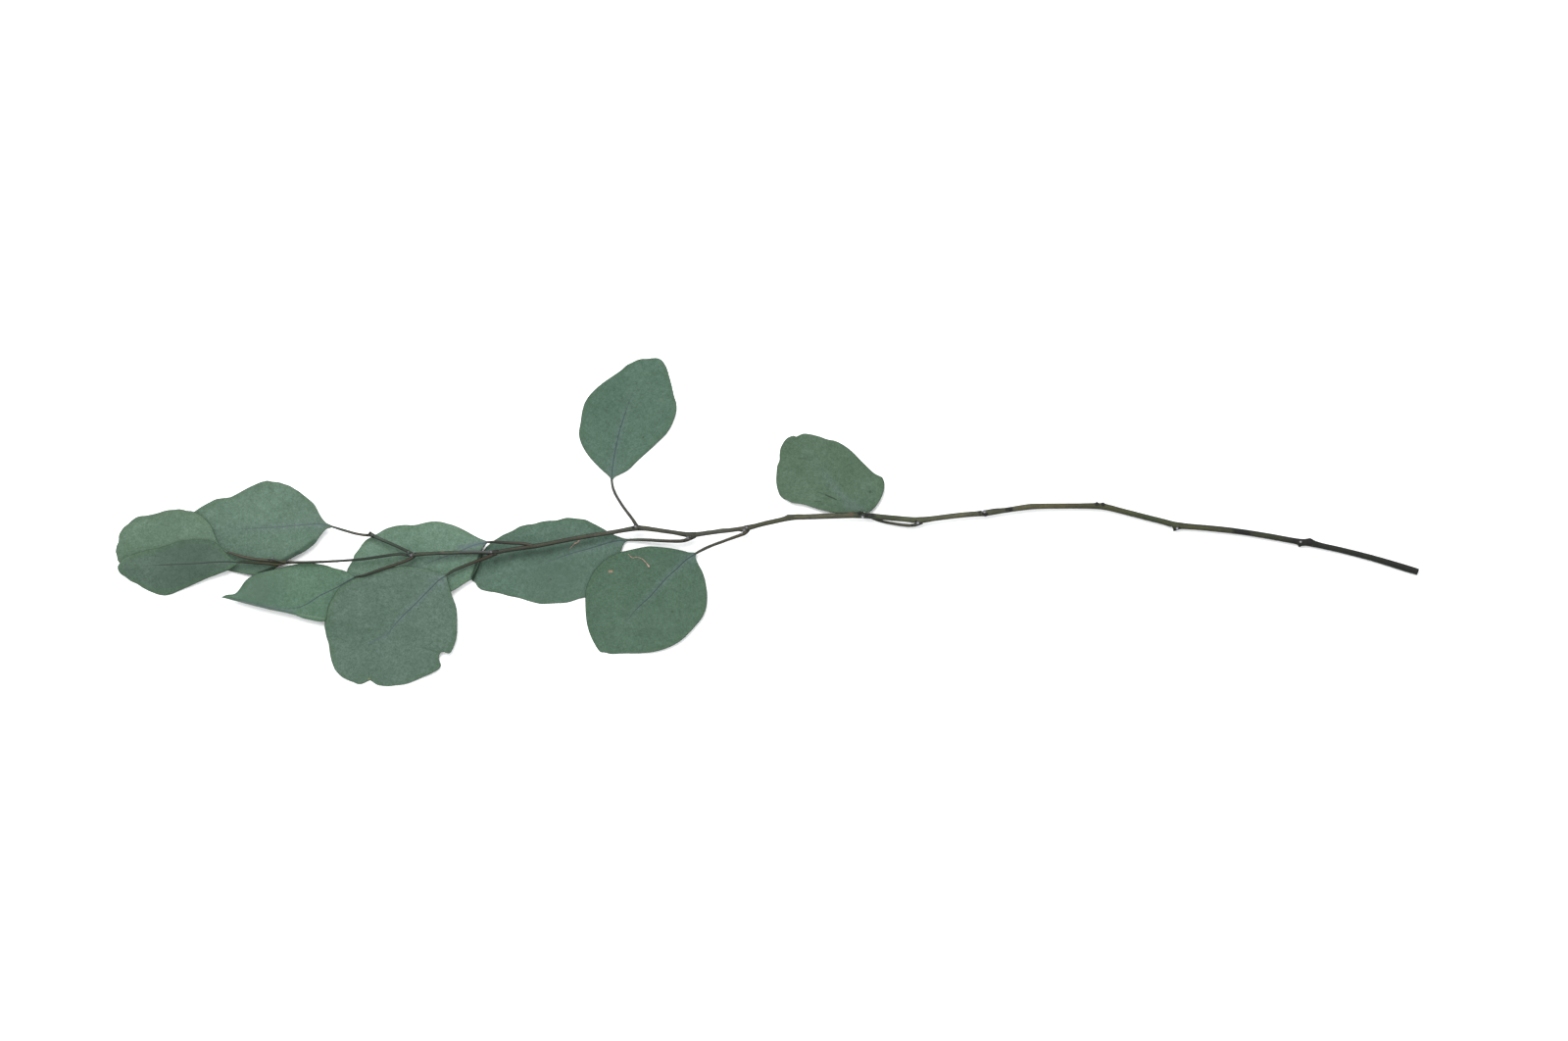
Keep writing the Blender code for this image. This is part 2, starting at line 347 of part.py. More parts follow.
def stalk_sections(leaf, rows, columns):
    """Round sections along the stalk, each as an upper and a lower run of points."""
    path = np.array(leaf["stalk"], float)
    xyzr = np.concatenate([place(path[:, :2]), path[:, 2:] * MM], axis=1)
    share = np.linspace(0.0, 1.0, rows + 1)[:-1]
    at = curve_at(xyzr, share)
    ahead = curve_at(xyzr, share + 0.02)[:, :3] - curve_at(xyzr, np.maximum(share - 0.02, 0.0))[:, :3]
    mid, one = place(leaf["mid"]), margin(leaf, "one")
    along = mid[1] - mid[0]
    turn = np.sign(along[0] * (one[0] - mid[0])[1] - along[1] * (one[0] - mid[0])[0])
    sections = []
    angles = np.pi * (1.0 - (np.arange(columns) + 0.5) / columns)
    for centre, forward in zip(at, ahead):
        forward = forward / np.linalg.norm(forward)
        across = np.array([forward[1], -forward[0], 0.0]) * turn
        across /= np.linalg.norm(across)
        up = np.cross(across, forward)
        up = up if up[2] > 0 else -up
        ring = lambda a: centre[:3] + centre[3] * (across * np.cos(a)[:, None] + up * np.sin(a)[:, None])
        sections.append((ring(angles), ring(-angles)))
    return sections


def loft(name, sections):
    """A closed solid through sections of unlike shape, from a round stalk to a thin blade."""
    columns = len(sections[0][0])
    bm = bmesh.new()
    loops = []
    for upper, lower in sections:
        loops.append([bm.verts.new(p) for p in upper] + [bm.verts.new(p) for p in lower[::-1]])
    count = 2 * columns
    for a, b in zip(loops, loops[1:]):
        for j in range(count):
            k = (j + 1) % count
            bm.faces.new((a[j], a[k], b[k], b[j]))
    for loop in (loops[0], loops[-1]):
        for j in range(columns - 1):
            bm.faces.new((loop[j], loop[j + 1], loop[count - 2 - j], loop[count - 1 - j]))
    bmesh.ops.triangulate(bm, faces=bm.faces[:])
    bmesh.ops.recalc_face_normals(bm, faces=bm.faces[:])
    mesh = bpy.data.meshes.new(name)
    bm.to_mesh(mesh)
    bm.free()
    return mesh


def make_leaf(name, leaf):
    """A leaf with its stalk, in one piece."""
    grid = blade_surface(leaf, BLADE_ROWS, BLADE_COLUMNS)
    normal = surface_normals(grid)
    upper = grid + normal * (BLADE_THICKNESS / 2)
    lower = grid - normal * (BLADE_THICKNESS / 2)
    lower[..., 2] = np.maximum(lower[..., 2], 0.0)
    sections = stalk_sections(leaf, STALK_ROWS, BLADE_COLUMNS)
    sections += [(upper[i], lower[i]) for i in range(BLADE_ROWS)]
    obj = bpy.data.objects.new(name, loft(name, sections))
    PARTS.objects.link(obj)
    return obj


def make_tube(name, path, steps):
    """A woody axis: a curve with a round section whose radius follows the path, then a mesh."""
    path = np.array(path, float)
    xyzr = np.concatenate([place(path[:, :2]), path[:, 2:] * MM], axis=1)
    points = curve_at(xyzr, np.linspace(0.0, 1.0, steps))
    data = bpy.data.curves.new(name + "_path", "CURVE")
    data.dimensions = "3D"
    data.bevel_depth = MM
    data.bevel_resolution = STEM_SIDES_RESOLUTION
    data.use_fill_caps = True
    spline = data.splines.new("POLY")
    spline.points.add(len(points) - 1)
    for p, (x, y, z, r) in zip(spline.points, points):
        p.co = (x, y, z, 1.0)
        p.radius = r / MM
    guide = bpy.data.objects.new(name + "_path", data)
    PARTS.objects.link(guide)
    depsgraph = bpy.context.evaluated_depsgraph_get()
    mesh = bpy.data.meshes.new_from_object(guide.evaluated_get(depsgraph))
    mesh.name = name
    bm = bmesh.new()
    bm.from_mesh(mesh)
    bmesh.ops.remove_doubles(bm, verts=bm.verts[:], dist=0.00001)
    bmesh.ops.recalc_face_normals(bm, faces=bm.faces[:])
    bm.to_mesh(mesh)
    bm.free()
    obj = bpy.data.objects.new(name, mesh)
    obj.matrix_world = guide.matrix_world
    PARTS.objects.link(obj)
    bpy.data.objects.remove(guide)
    bpy.data.curves.remove(data)
    return obj


def add_bud(owner, number, bud):
    """A bud or scar joined to a woody axis."""
    bm = bmesh.new()
    bmesh.ops.create_uvsphere(bm, u_segments=BUD_SEGMENTS, v_segments=BUD_RINGS, radius=bud[3] * MM)
    mesh = bpy.data.meshes.new(f"bud_{number}")
    bm.to_mesh(mesh)
    bm.free()
    obj = bpy.data.objects.new(f"bud_{number}", mesh)
    x, y = place(bud[:2])
    obj.location = (x, y, bud[2] * MM)
    obj.hide_render = True
    obj.display_type = "WIRE"
    CUTTERS.objects.link(obj)
    join = owner.modifiers.new(f"bud_{number}", "BOOLEAN")
    join.operation = "UNION"
    join.solver = "EXACT"
    join.object = obj


def give_material(obj, colour, roughness):
    material = bpy.data.materials.new(obj.name + "_material")
    material.use_nodes = True
    shader = material.node_tree.nodes["Principled BSDF"]
    shader.inputs["Base Color"].default_value = (*colour, 1.0)
    shader.inputs["Roughness"].default_value = roughness
    shader.inputs["Metallic"].default_value = 0.0
    material.diffuse_color = (*colour, 1.0)
    obj.data.materials.clear()
    obj.data.materials.append(material)


# ---------------------------------------------------------------- build
for old in list(bpy.data.objects):
    bpy.data.objects.remove(old)
PARTS = bpy.data.collections.new("eucalyptus_branch")
CUTTERS = bpy.data.collections.new("cutters")
bpy.context.scene.collection.children.link(PARTS)
bpy.context.scene.collection.children.link(CUTTERS)

stem = make_tube("main_stem", MAIN_STEM, 112)
for number, bud in enumerate(BUDS):
    add_bud(stem, number, bud)
give_material(stem, STEM_COLOUR, STEM_ROUGHNESS)
give_material(make_tube("upper_twig", UPPER_TWIG, 10), TWIG_COLOUR, STEM_ROUGHNESS)
give_material(make_tube("terminal_twig", TERMINAL_TWIG, 18), TWIG_COLOUR, STEM_ROUGHNESS)
for name, leaf in LEAVES.items():
    give_material(make_leaf(name, leaf), LEAF_COLOURS[name], LEAF_ROUGHNESS)
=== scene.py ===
"""The looks of the eucalyptus branch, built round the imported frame.

Plan positions are on a layout grid of half a millimetre (x to the right, y down), heights and
radii in millimetres, as in the frame's own solids.
"""
import math
import bpy
import numpy as np
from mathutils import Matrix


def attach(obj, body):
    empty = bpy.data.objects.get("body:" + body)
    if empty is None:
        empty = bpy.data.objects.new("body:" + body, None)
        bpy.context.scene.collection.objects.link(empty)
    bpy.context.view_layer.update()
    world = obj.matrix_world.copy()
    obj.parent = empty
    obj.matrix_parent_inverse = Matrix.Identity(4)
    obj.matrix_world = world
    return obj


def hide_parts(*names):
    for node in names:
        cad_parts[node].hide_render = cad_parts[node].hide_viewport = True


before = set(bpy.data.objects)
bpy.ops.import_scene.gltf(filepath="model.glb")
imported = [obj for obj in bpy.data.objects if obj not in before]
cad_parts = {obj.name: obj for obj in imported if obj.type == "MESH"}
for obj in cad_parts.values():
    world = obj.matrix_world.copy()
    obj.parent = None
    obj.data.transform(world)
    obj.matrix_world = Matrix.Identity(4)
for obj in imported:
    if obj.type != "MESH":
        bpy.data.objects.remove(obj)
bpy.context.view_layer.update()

# ---------------------------------------------------------------- layout and detail
GRID = 0.0005
CENTRE = (783.37, 532.61)
MM = 0.001

BLADE_THICKNESS = 0.00050
TIP_SHARE = 0.94
CURL_POWER = 1.6

BLADE_ROWS = 118              # sections of a blade before those that round its tip
HALF_COLUMNS = 32             # points from the midrib to where the rim starts
STALK_STEP = 0.00065          # distance between a stalk's sections
STEM_STEP = 0.00050           # distance between the stem's sections
STEM_SIDES = 40
TWIG_SIDES = 28

# ---------------------------------------------------------------- the stem and its twigs
# Each point: grid x, grid y, height of the centre line (mm), radius (mm).
MAIN_STEM = [
    (1447.2, 583.7, 1.70, 1.66), (1430.5, 578.6, 1.74, 1.62), (1415.2, 573.9, 1.80, 1.56),
    (1399.9, 569.4, 1.88, 1.48), (1384.4, 565.3, 1.95, 1.45), (1369.0, 561.5, 2.05, 1.44),
    (1353.3, 558.0, 2.15, 1.46), (1343.0, 555.7, 2.22, 1.54), (1334.0, 553.8, 2.28, 1.64),
    (1326.0, 552.9, 2.34, 1.52), (1314.1, 550.8, 2.40, 1.40), (1298.5, 547.9, 2.50, 1.40),
    (1282.7, 545.2, 2.60, 1.37), (1266.9, 542.8, 2.70, 1.34), (1251.0, 540.8, 2.78, 1.36),
    (1235.1, 539.2, 2.86, 1.34), (1219.2, 537.8, 2.92, 1.34), (1209.0, 537.0, 2.98, 1.42),
    (1201.5, 536.2, 3.00, 1.50), (1195.0, 534.6, 3.03, 1.42), (1187.7, 532.5, 3.06, 1.34),
    (1172.1, 528.6, 3.14, 1.33), (1156.7, 524.6, 3.20, 1.32), (1141.2, 520.6, 3.27, 1.34),
    (1131.5, 518.1, 3.32, 1.42), (1124.5, 516.8, 3.36, 1.46), (1117.0, 516.4, 3.40, 1.40),
    (1101.6, 516.4, 3.50, 1.31), (1077.6, 516.5, 3.62, 1.31), (1061.6, 516.7, 3.72, 1.34),
    (1053.0, 517.0, 3.78, 1.44), (1045.7, 517.8, 3.80, 1.42), (1037.8, 519.0, 3.84, 1.32),
    (1022.0, 521.3, 3.94, 1.32), (1014.0, 522.3, 4.00, 1.48), (1006.0, 523.6, 4.05, 1.50),
    (998.1, 524.3, 4.12, 1.30), (982.2, 525.6, 4.25, 1.26), (966.3, 527.4, 4.37, 1.25),
    (950.5, 529.5, 4.50, 1.28), (941.0, 530.7, 4.60, 1.42), (933.5, 530.8, 4.70, 1.40),
    (926.5, 530.1, 4.78, 1.26), (910.6, 528.7, 5.00, 1.26), (900.0, 527.7, 5.12, 1.26),
    (888.0, 526.6, 5.30, 1.30), (879.0, 526.0, 5.42, 1.36), (870.0, 525.9, 5.48, 1.30),
    (855.0, 526.3, 5.53, 1.26), (838.8, 526.9, 5.58, 1.25), (822.8, 527.5, 5.62, 1.26),
    (811.0, 527.8, 5.67, 1.34), (805.0, 528.6, 5.70, 1.36), (799.0, 530.1, 5.73, 1.16),
    (788.5, 532.5, 5.78, 1.12), (776.8, 535.2, 5.84, 1.12), (768.0, 537.6, 5.88, 1.18),
    (761.5, 539.2, 5.90, 1.34), (753.3, 540.0, 5.95, 1.10), (741.4, 541.5, 6.02, 1.08),
    (735.4, 542.0, 6.06, 1.15), (729.5, 542.9, 6.12, 1.08), (717.6, 544.6, 6.24, 1.10),
    (710.5, 545.5, 6.32, 1.22), (704.5, 545.9, 6.38, 1.34), (697.0, 545.0, 6.45, 1.14),
    (687.8, 543.4, 6.53, 1.01), (675.9, 541.7, 6.65, 1.02), (664.0, 540.0, 6.76, 1.06),
    (657.0, 539.2, 6.82, 1.14), (650.5, 538.9, 6.92, 1.28), (643.5, 540.0, 7.02, 1.14),
    (634.4, 541.6, 7.12, 1.02), (624.0, 543.4, 7.25, 1.00), (600.0, 547.2, 7.50, 0.98),
    (580.0, 550.8, 7.75, 0.96), (560.0, 554.8, 7.95, 0.94), (546.0, 557.4, 8.10, 0.98),
    (535.0, 559.0, 8.20, 0.90), (520.0, 561.2, 8.35, 0.90), (510.0, 562.9, 8.44, 0.96),
    (503.0, 563.8, 8.50, 0.98), (490.0, 563.7, 8.60, 0.82), (470.0, 563.9, 8.75, 0.80),
    (450.0, 564.5, 8.90, 0.80), (432.0, 565.4, 9.00, 0.82), (423.5, 566.0, 9.05, 0.94),
]
UPPER_TWIG = [
    (418.6, 563.6, 9.05, 0.68), (411.0, 560.2, 8.85, 0.66), (404.0, 556.9, 8.68, 0.66),
    (397.0, 553.9, 8.48, 0.68), (390.0, 550.9, 8.30, 0.72), (384.5, 548.3, 8.10, 0.80),
    (380.0, 546.2, 7.95, 0.98), (377.6, 544.6, 7.90, 0.84),
]
TERMINAL_TWIG = [
    (417.4, 567.0, 9.00, 0.58), (411.0, 565.6, 8.90, 0.56), (402.5, 566.0, 8.78, 0.56),
    (392.5, 567.4, 8.63, 0.56), (382.6, 568.9, 8.48, 0.55), (372.7, 570.3, 8.33, 0.54),
    (362.7, 571.3, 8.20, 0.53), (352.8, 572.0, 8.08, 0.52), (340.3, 572.8, 7.95, 0.52),
    (325.3, 573.5, 7.82, 0.52), (310.0, 573.9, 7.70, 0.53), (298.0, 574.0, 7.60, 0.56),
    (289.5, 573.6, 7.55, 0.62), (283.5, 572.0, 7.50, 0.50), (277.6, 570.4, 7.50, 0.40),
]
# Dormant buds and leaf scars that stand out of the main stem:
# grid x, grid y, height (mm), radius (mm).
BUDS = [
    (1336.5, 550.9, 2.6, 0.95), (1326.0, 556.3, 2.4, 0.95), (1199.6, 539.6, 3.0, 1.00),
    (1198.2, 541.6, 2.9, 0.62), (1119.8, 514.9, 3.6, 0.85), (1125.6, 515.2, 3.7, 0.80),
    (1031.5, 519.4, 4.4, 0.95), (1004.6, 524.6, 4.7, 1.05), (878.6, 525.0, 6.2, 0.90),
    (805.6, 526.9, 5.9, 0.85),
]

# ---------------------------------------------------------------- the leaves
# stalk: grid x, grid y, height (mm), radius (mm), from the stem to the blade.
# mid: the midrib in plan, from the stalk to the tip. one, two: the two margins, which end
# at the midrib's last point. lift: heights (mm) along margin one, the midrib and margin two,
# at equal steps from the stalk to the tip.
LEAVES = {
    "leaf_upright": {
        "stalk": [(648.9, 535.0, 6.70, 0.82), (646.3, 530.6, 6.26, 0.72), (643.6, 526.9, 5.80, 0.66),
                  (637.7, 519.1, 4.70, 0.63), (632.0, 510.6, 3.60, 0.60), (627.3, 502.2, 2.45, 0.59),
                  (625.4, 497.0, 1.75, 0.60), (624.3, 490.5, 1.02, 0.60)],
        "mid": [(624.2, 489.8), (625, 478), (627, 465), (630, 450), (632, 441), (635, 431), (640, 416),
                (648, 396), (656, 379), (665, 365.8)],
        "one": [(622.6, 487.6), (620.3, 484.4), (616, 480.2), (610, 474.5), (600, 463), (593, 450), (591.5, 443), (593, 432), (595, 419),
                (597, 412), (600, 406.5), (605, 400.5), (615, 391.5), (625, 384.5), (635, 377.5),
                (640, 373), (645, 370.5), (650, 368), (655, 366.7), (660, 366.6), (665, 365.8)],
        "two": [(625.9, 488.2), (628.2, 486), (631.5, 484), (635.5, 482), (640, 479.5), (650, 470), (660, 461), (670, 451.5), (680, 441.5),
                (686, 431), (689.5, 420), (689.7, 413), (687, 403), (684, 390), (682, 383), (680, 376),
                (678, 372), (675, 368), (671, 366), (665, 365.8)],
        "lift": [(0.9, 0.9, 1.2, 0.9, 0.5, 0.3), (0.9, 0.2, 0.1, 0.1, 0.1, 0.2),
                 (0.9, 0.5, 0.8, 1.2, 0.9, 0.3)],
    },
    "leaf_beside_stem": {
        "stalk": [(930.0, 536.1, 3.40, 0.66), (921.5, 535.6, 3.05, 0.64), (912.0, 534.2, 2.80, 0.63),
                  (902.0, 532.3, 2.62, 0.62), (893.0, 529.6, 2.50, 0.60), (885.5, 526.3, 2.45, 0.57),
                  (879.2, 522.6, 2.45, 0.52)],
        "mid": [(878, 521.8), (870, 515), (862, 508), (855, 501), (848, 492), (838, 479), (828, 465),
                (813, 446)],
        "one": [(870, 522.7), (860, 523), (852, 522.5), (845, 521.3), (838, 519.5), (830, 517),
                (822, 514.5), (815, 513), (809, 512.3), (804, 510), (800, 508), (797, 505.5),
                (794.5, 500), (793, 493), (793.2, 482), (794, 475), (796, 470), (796.3, 463),
                (797, 458), (799, 453.5), (802, 449), (806, 446.2), (810.5, 445.2), (813, 446)],
        "two": [(886, 522.4), (890, 519.5), (895, 514), (899, 507), (901, 502), (902, 496), (901.5, 491),
                (900, 487.5), (897, 486), (893, 484), (885, 477), (877, 469), (868, 460), (862, 455.5),
                (857, 452.5), (852, 450.3), (845, 449), (835, 445.5), (825, 443.3), (820, 443),
                (817, 444), (813, 446)],
        "lift": [(2.45, 3.0, 3.2, 2.2, 1.0, 0.3), (2.45, 2.4, 1.9, 1.3, 0.7, 0.3),
                 (2.45, 3.0, 3.1, 2.0, 1.0, 0.3)],
    },
    "leaf_lower_right": {
        "stalk": [(760.0, 543.9, 5.60, 0.84), (755.5, 545.9, 5.40, 0.72), (746.2, 549.3, 4.95, 0.68),
                  (736.7, 552.8, 4.35, 0.66), (727.4, 556.2, 3.75, 0.66), (718.2, 560.2, 3.15, 0.68),
                  (711.2, 563.9, 2.75, 0.66)],
        "mid": [(710.0, 564.6), (700, 571.5), (690, 581), (680, 590), (671, 600), (662, 610), (652, 619),
                (640, 633), (629, 649), (618, 665.3)],
        "one": [(706.4, 563.5), (703.5, 563.7), (700, 563.2), (693, 561.5), (685, 560), (677, 559), (670, 558.3), (663, 558),
                (655, 559), (648, 560.5), (641, 562), (635, 563.5), (628, 566), (620, 570), (612, 577),
                (606, 584), (602, 592), (599, 600), (598, 608), (598, 616), (598.3, 625), (600, 638),
                (602, 645), (604, 650), (607, 656), (610, 661), (613, 664.5), (618, 665.3)],
        "two": [(710.0, 567.4), (710.3, 570.4), (712.3, 576), (716, 583), (718.5, 590), (720, 598), (721, 605), (721, 612),
                (720, 620), (717, 628), (709, 638.5), (703, 645), (697, 651), (690, 656), (682, 660),
                (675, 662.5), (667, 664.5), (658, 665.5), (650, 666), (640, 666), (630, 666.3),
                (624, 666.6), (618, 665.3)],
        "lift": [(2.7, 3.3, 3.3, 2.5, 1.2, 0.2), (2.7, 2.1, 1.6, 1.1, 0.6, 0.2),
                 (2.7, 2.4, 2.9, 2.8, 1.2, 0.2)],
    },
    "leaf_middle": {
        "stalk": [(701.6, 550.4, 6.00, 0.82), (697.2, 551.7, 5.75, 0.78), (690.0, 552.1, 5.30, 0.74),
                  (682.1, 552.0, 4.80, 0.71), (672.2, 551.5, 4.15, 0.69), (660.0, 550.8, 3.35, 0.66),
                  (650.0, 550.6, 2.75, 0.65), (641.6, 550.8, 2.25, 0.62)],
        "mid": [(640.6, 550.9), (625, 552.7), (612, 556.5), (600, 560), (580, 565.5), (560, 572.5),
                (540, 577), (520, 581), (500, 586), (481.4, 590.6)],
        "one": [(637, 549.4), (632, 548.2), (624, 545), (618, 541.5), (611, 537.5), (604, 534), (598, 531), (590, 529.8),
                (583, 529), (577, 529), (572, 530.5), (568, 531.5), (560, 531.8), (552, 533), (545, 535),
                (537, 536), (530, 538), (525, 541), (520, 543.5), (514, 546), (508, 549.8), (503, 553),
                (499.3, 556.2), (496.3, 559.2), (494.2, 562.2), (490, 568), (486, 576), (483, 584), (481.4, 590.6)],
        "two": [(638.6, 553.0), (636.4, 555), (634.8, 557.8), (632.4, 563.8), (629, 573), (623, 584), (615, 594), (606, 602.5),
                (597, 608.5), (590, 610.5), (583, 613), (576, 614.5), (568, 614.8), (560, 615.3),
                (553, 615.5), (545, 614), (538, 612), (530, 609.5), (520, 607.5), (513, 605.5),
                (505, 603.6), (497, 602.4), (490.6, 600.4), (487.4, 597.4), (485.8, 594.4), (483.4, 592.6), (481.4, 590.6)],
        "lift": [(2.0, 2.2, 2.4, 2.1, 1.3, 0.6), (2.0, 1.6, 1.3, 1.0, 0.8, 0.6),
                 (2.0, 0.9, 0.4, 0.2, 0.2, 0.5)],
    },
    "leaf_inner": {
        "stalk": [(532.0, 554.4, 7.95, 0.68), (521.0, 554.0, 7.55, 0.66), (510.0, 553.2, 7.10, 0.63),
                  (503.0, 552.9, 6.72, 0.60), (498.0, 553.1, 6.38, 0.56)],
        "mid": [(497, 553), (485, 556), (470, 562), (450, 569.5), (430, 577), (408, 584), (384, 590),
                (358, 595)],
        "one": [(490, 550), (483, 546.5), (476, 542.5), (470, 539.5), (463, 536.5), (456, 534.5),
                (450, 533), (445, 532.5), (438, 533), (431, 534.5), (425, 536), (411, 536.2), (402, 537.5),
                (392, 541), (388, 543.5), (378, 549), (374, 551.5), (370, 556), (368, 559), (365, 563),
                (362, 567), (361, 571), (358, 576), (355, 582), (354, 588), (358, 595)],
        "two": [(493, 557), (491, 562), (490, 568), (488.5, 574), (486, 580), (483, 586), (480.5, 590.5),
                (475, 594), (469, 598), (463, 601.5), (450, 606.5), (438, 608.5), (425, 609), (410, 608),
                (395, 605.5), (380, 602), (368, 598.5), (358, 595)],
        "lift": [(6.3, 5.6, 4.9, 4.2, 3.6, 3.0), (6.3, 5.6, 4.8, 4.2, 3.6, 3.0),
                 (6.3, 4.6, 3.8, 3.4, 3.2, 3.0)],
    },
    "leaf_lower_large": {
        "stalk": [(497.6, 568.4, 8.24, 0.84), (490.0, 571.3, 8.18, 0.74), (480.0, 575.1, 8.08, 0.67),
                  (470.0, 579.1, 7.94, 0.64), (462.0, 582.6, 7.76, 0.62), (456.8, 586.2, 7.57, 0.58)],
        "mid": [(455.5, 587), (450, 590.5), (440, 600), (430, 610), (420, 620), (410, 629.5), (400, 641),
                (390, 655), (383, 672), (378, 693.5)],
        "one": [(452, 585.6), (448, 584.6), (440, 582.5), (432, 580.5), (424, 579), (416, 578.5),
                (408, 578.4), (400, 579.2), (392, 581), (384, 583.8), (376, 586.4), (368, 589), (361, 591.4),
                (353, 595.5), (345, 602), (341, 609), (337, 616), (335, 623), (334, 630), (332, 637),
                (333, 645), (334, 650), (336, 656), (337, 664), (338, 670), (340, 677), (342, 682),
                (346, 687), (350, 690.5), (355, 693), (360, 695), (367, 697.5), (371, 696.5), (375, 694.5),
                (378, 693.5)],
        "two": [(457, 594), (458.5, 600), (460, 605.5), (462, 611), (464, 616), (465.5, 623), (466, 630),
                (466, 638), (466, 645), (465, 652), (463, 658), (461, 663), (459, 666.8), (456, 667),
                (453.2, 665.6), (450.8, 666), (449, 669), (448.5, 672), (449.8, 675.5), (450.2, 679),
                (447, 682.5), (443, 685), (438, 687.5), (432, 690), (425, 693), (418, 696), (410, 698),
                (403, 698.7), (396, 699.5), (390, 699), (385, 698), (381, 695.5), (378, 693.5)],
        "lift": [(7.5, 7.2, 7.35, 6.0, 2.6, 0.2), (7.5, 6.7, 5.3, 3.6, 1.7, 0.2),
                 (7.5, 5.8, 4.0, 2.4, 1.0, 0.2)],
    },
    "leaf_folded": {
        "stalk": [(416.6, 571.3, 8.95, 0.64), (410.0, 573.9, 8.85, 0.62), (400.0, 577.3, 8.75, 0.60),
                  (390.0, 580.6, 8.66, 0.58), (380.0, 584.1, 8.64, 0.56), (372.0, 586.9, 8.50, 0.52),
                  (363.5, 588.5, 7.15, 0.47)],
        "mid": [(362.5, 588.6), (355, 593), (344, 599.4), (333, 604.6), (325, 608.6), (318.7, 612.9),
                (311, 617.4), (304, 620.0), (297, 620.8), (285, 620.0), (270, 617.3), (255, 614.2),
                (243, 611.0), (235, 609.2), (226, 609.4)],
        "one": [(358, 585.4), (350, 582.5), (340, 580), (333, 577.5), (325, 576), (317, 575), (308, 574.7),
                (300, 575.5), (293, 577), (287, 578.4), (280, 580.9), (272, 583.4), (266, 584.9), (262, 586.2),
                (257, 588.7), (251, 593), (248, 597), (245, 601), (242.5, 605), (238, 606.6), (233, 606.4),
                (229, 607.5), (226, 609.4)],
        "two": [(361, 592), (360, 600), (357, 612), (350, 623), (341, 631), (332, 633.4), (325, 633.3),
                (318, 632), (310, 630), (303, 627), (296, 625.2), (289, 623.6), (278, 621.4), (262, 617.6),
                (250, 614.7), (240, 612.8), (233, 611), (226, 609.4)],
        "lift": [(6.9, 5.8, 5.2, 4.9, 4.7, 4.6, 4.5, 4.5, 4.6, 4.9, 5.1),
                 (6.9, 5.3, 5.1, 5.3, 6.0, 7.1, 8.2, 8.6, 8.3, 7.2, 5.2),
                 (6.9, 4.6, 4.1, 3.9, 4.5, 5.5, 6.1, 6.2, 5.8, 5.2, 5.0)],
    },
    "leaf_upper_left": {
        "stalk": [(373.4, 545.9, 7.70, 0.60), (363.6, 544.4, 7.50, 0.58), (354.0, 541.8, 7.18, 0.57),
                  (346.0, 539.4, 6.86, 0.56), (339.8, 537.4, 6.56, 0.55)],
        "mid": [(338.8, 537.1), (332, 535.3), (325, 534.9), (315, 535.2), (305, 535.9), (295, 536.8), (285, 537.6),
                (265, 538.8), (250, 539.6), (235, 541), (215, 544), (196, 549)],
        "one": [(336.3, 534.9), (333.3, 533.7), (330.8, 531.8), (328.4, 529.2), (326.2, 525.8), (324, 521.6), (320, 514.5), (315, 510), (310, 506), (305, 502),
                (300, 499), (295, 496), (290, 494.5), (285, 492.7), (278, 492), (273, 491), (268, 492),
                (258, 496), (250, 500), (240, 505.5), (236, 507.5), (230, 508.5), (220, 510), (215, 512.5),
                (205, 518), (200, 521.5), (195, 525), (191, 531), (190, 538), (192, 544), (196, 549)],
        "two": [(336.8, 538.9), (334.2, 539.2), (331.4, 540.8), (328.6, 543.7), (325.5, 547.7), (321.4, 553.6), (317.4, 557.2), (311.8, 561.3), (305.8, 565.0),
                (299.5, 568.9), (292.6, 572.9), (286, 576.8), (279.5, 580.9), (272, 584.1), (262, 586), (250, 584.9),
                (240, 583), (233, 581.5), (222, 577), (212, 570), (203, 560), (196, 549)],
        "lift": [(6.4, 3.9, 2.8, 1.7, 0.8, 0.6), (6.4, 4.8, 3.5, 2.3, 1.2, 0.7),
                 (6.4, 4.4, 3.4, 2.6, 1.3, 0.7)],
    },
    "leaf_end_upper": {
        "stalk": [(284.0, 573.3, 5.95, 0.58), (276.0, 572.0, 5.92, 0.68), (268.0, 571.3, 5.85, 0.70),
                  (260.0, 570.5, 5.78, 0.68), (250.0, 568.6, 5.60, 0.62), (241.0, 566.0, 5.42, 0.54),
                  (234.0, 563.6, 5.25, 0.46)],
        "mid": [(233, 563.2), (222, 560.8), (210, 559), (195, 558), (180, 558), (165, 558.5), (150, 559.5),
                (135, 561), (118.6, 563)],
        "one": [(228.5, 559.6), (225, 557), (221.6, 553.5), (219.8, 549.5), (217.3, 543), (214.4, 536),
                (209.6, 530.7), (206, 527), (201, 524), (197.5, 522.5), (190, 521.5), (183, 520),
                (178, 520.5), (170, 521.3), (160, 524.3), (150, 526.5), (140, 528), (136, 530.5),
                (131, 535), (127, 538), (124, 542), (122, 546), (122.4, 552), (120, 556), (119, 560),
                (118.6, 563)],
        "two": [(229, 567), (222, 573.5), (213, 579), (203, 583), (190, 586), (172, 587), (155, 585.5),
                (140, 581.5), (130, 577.8), (123.5, 574.5), (120.5, 571), (119.8, 567), (118.6, 563)],
        "lift": [(5.2, 3.5, 2.0, 1.1, 0.7, 0.6), (5.2, 4.4, 3.3, 2.3, 1.3, 0.6),
                 (5.2, 3.4, 2.3, 1.5, 0.9, 0.6)],
    },
    "leaf_end_lower": {
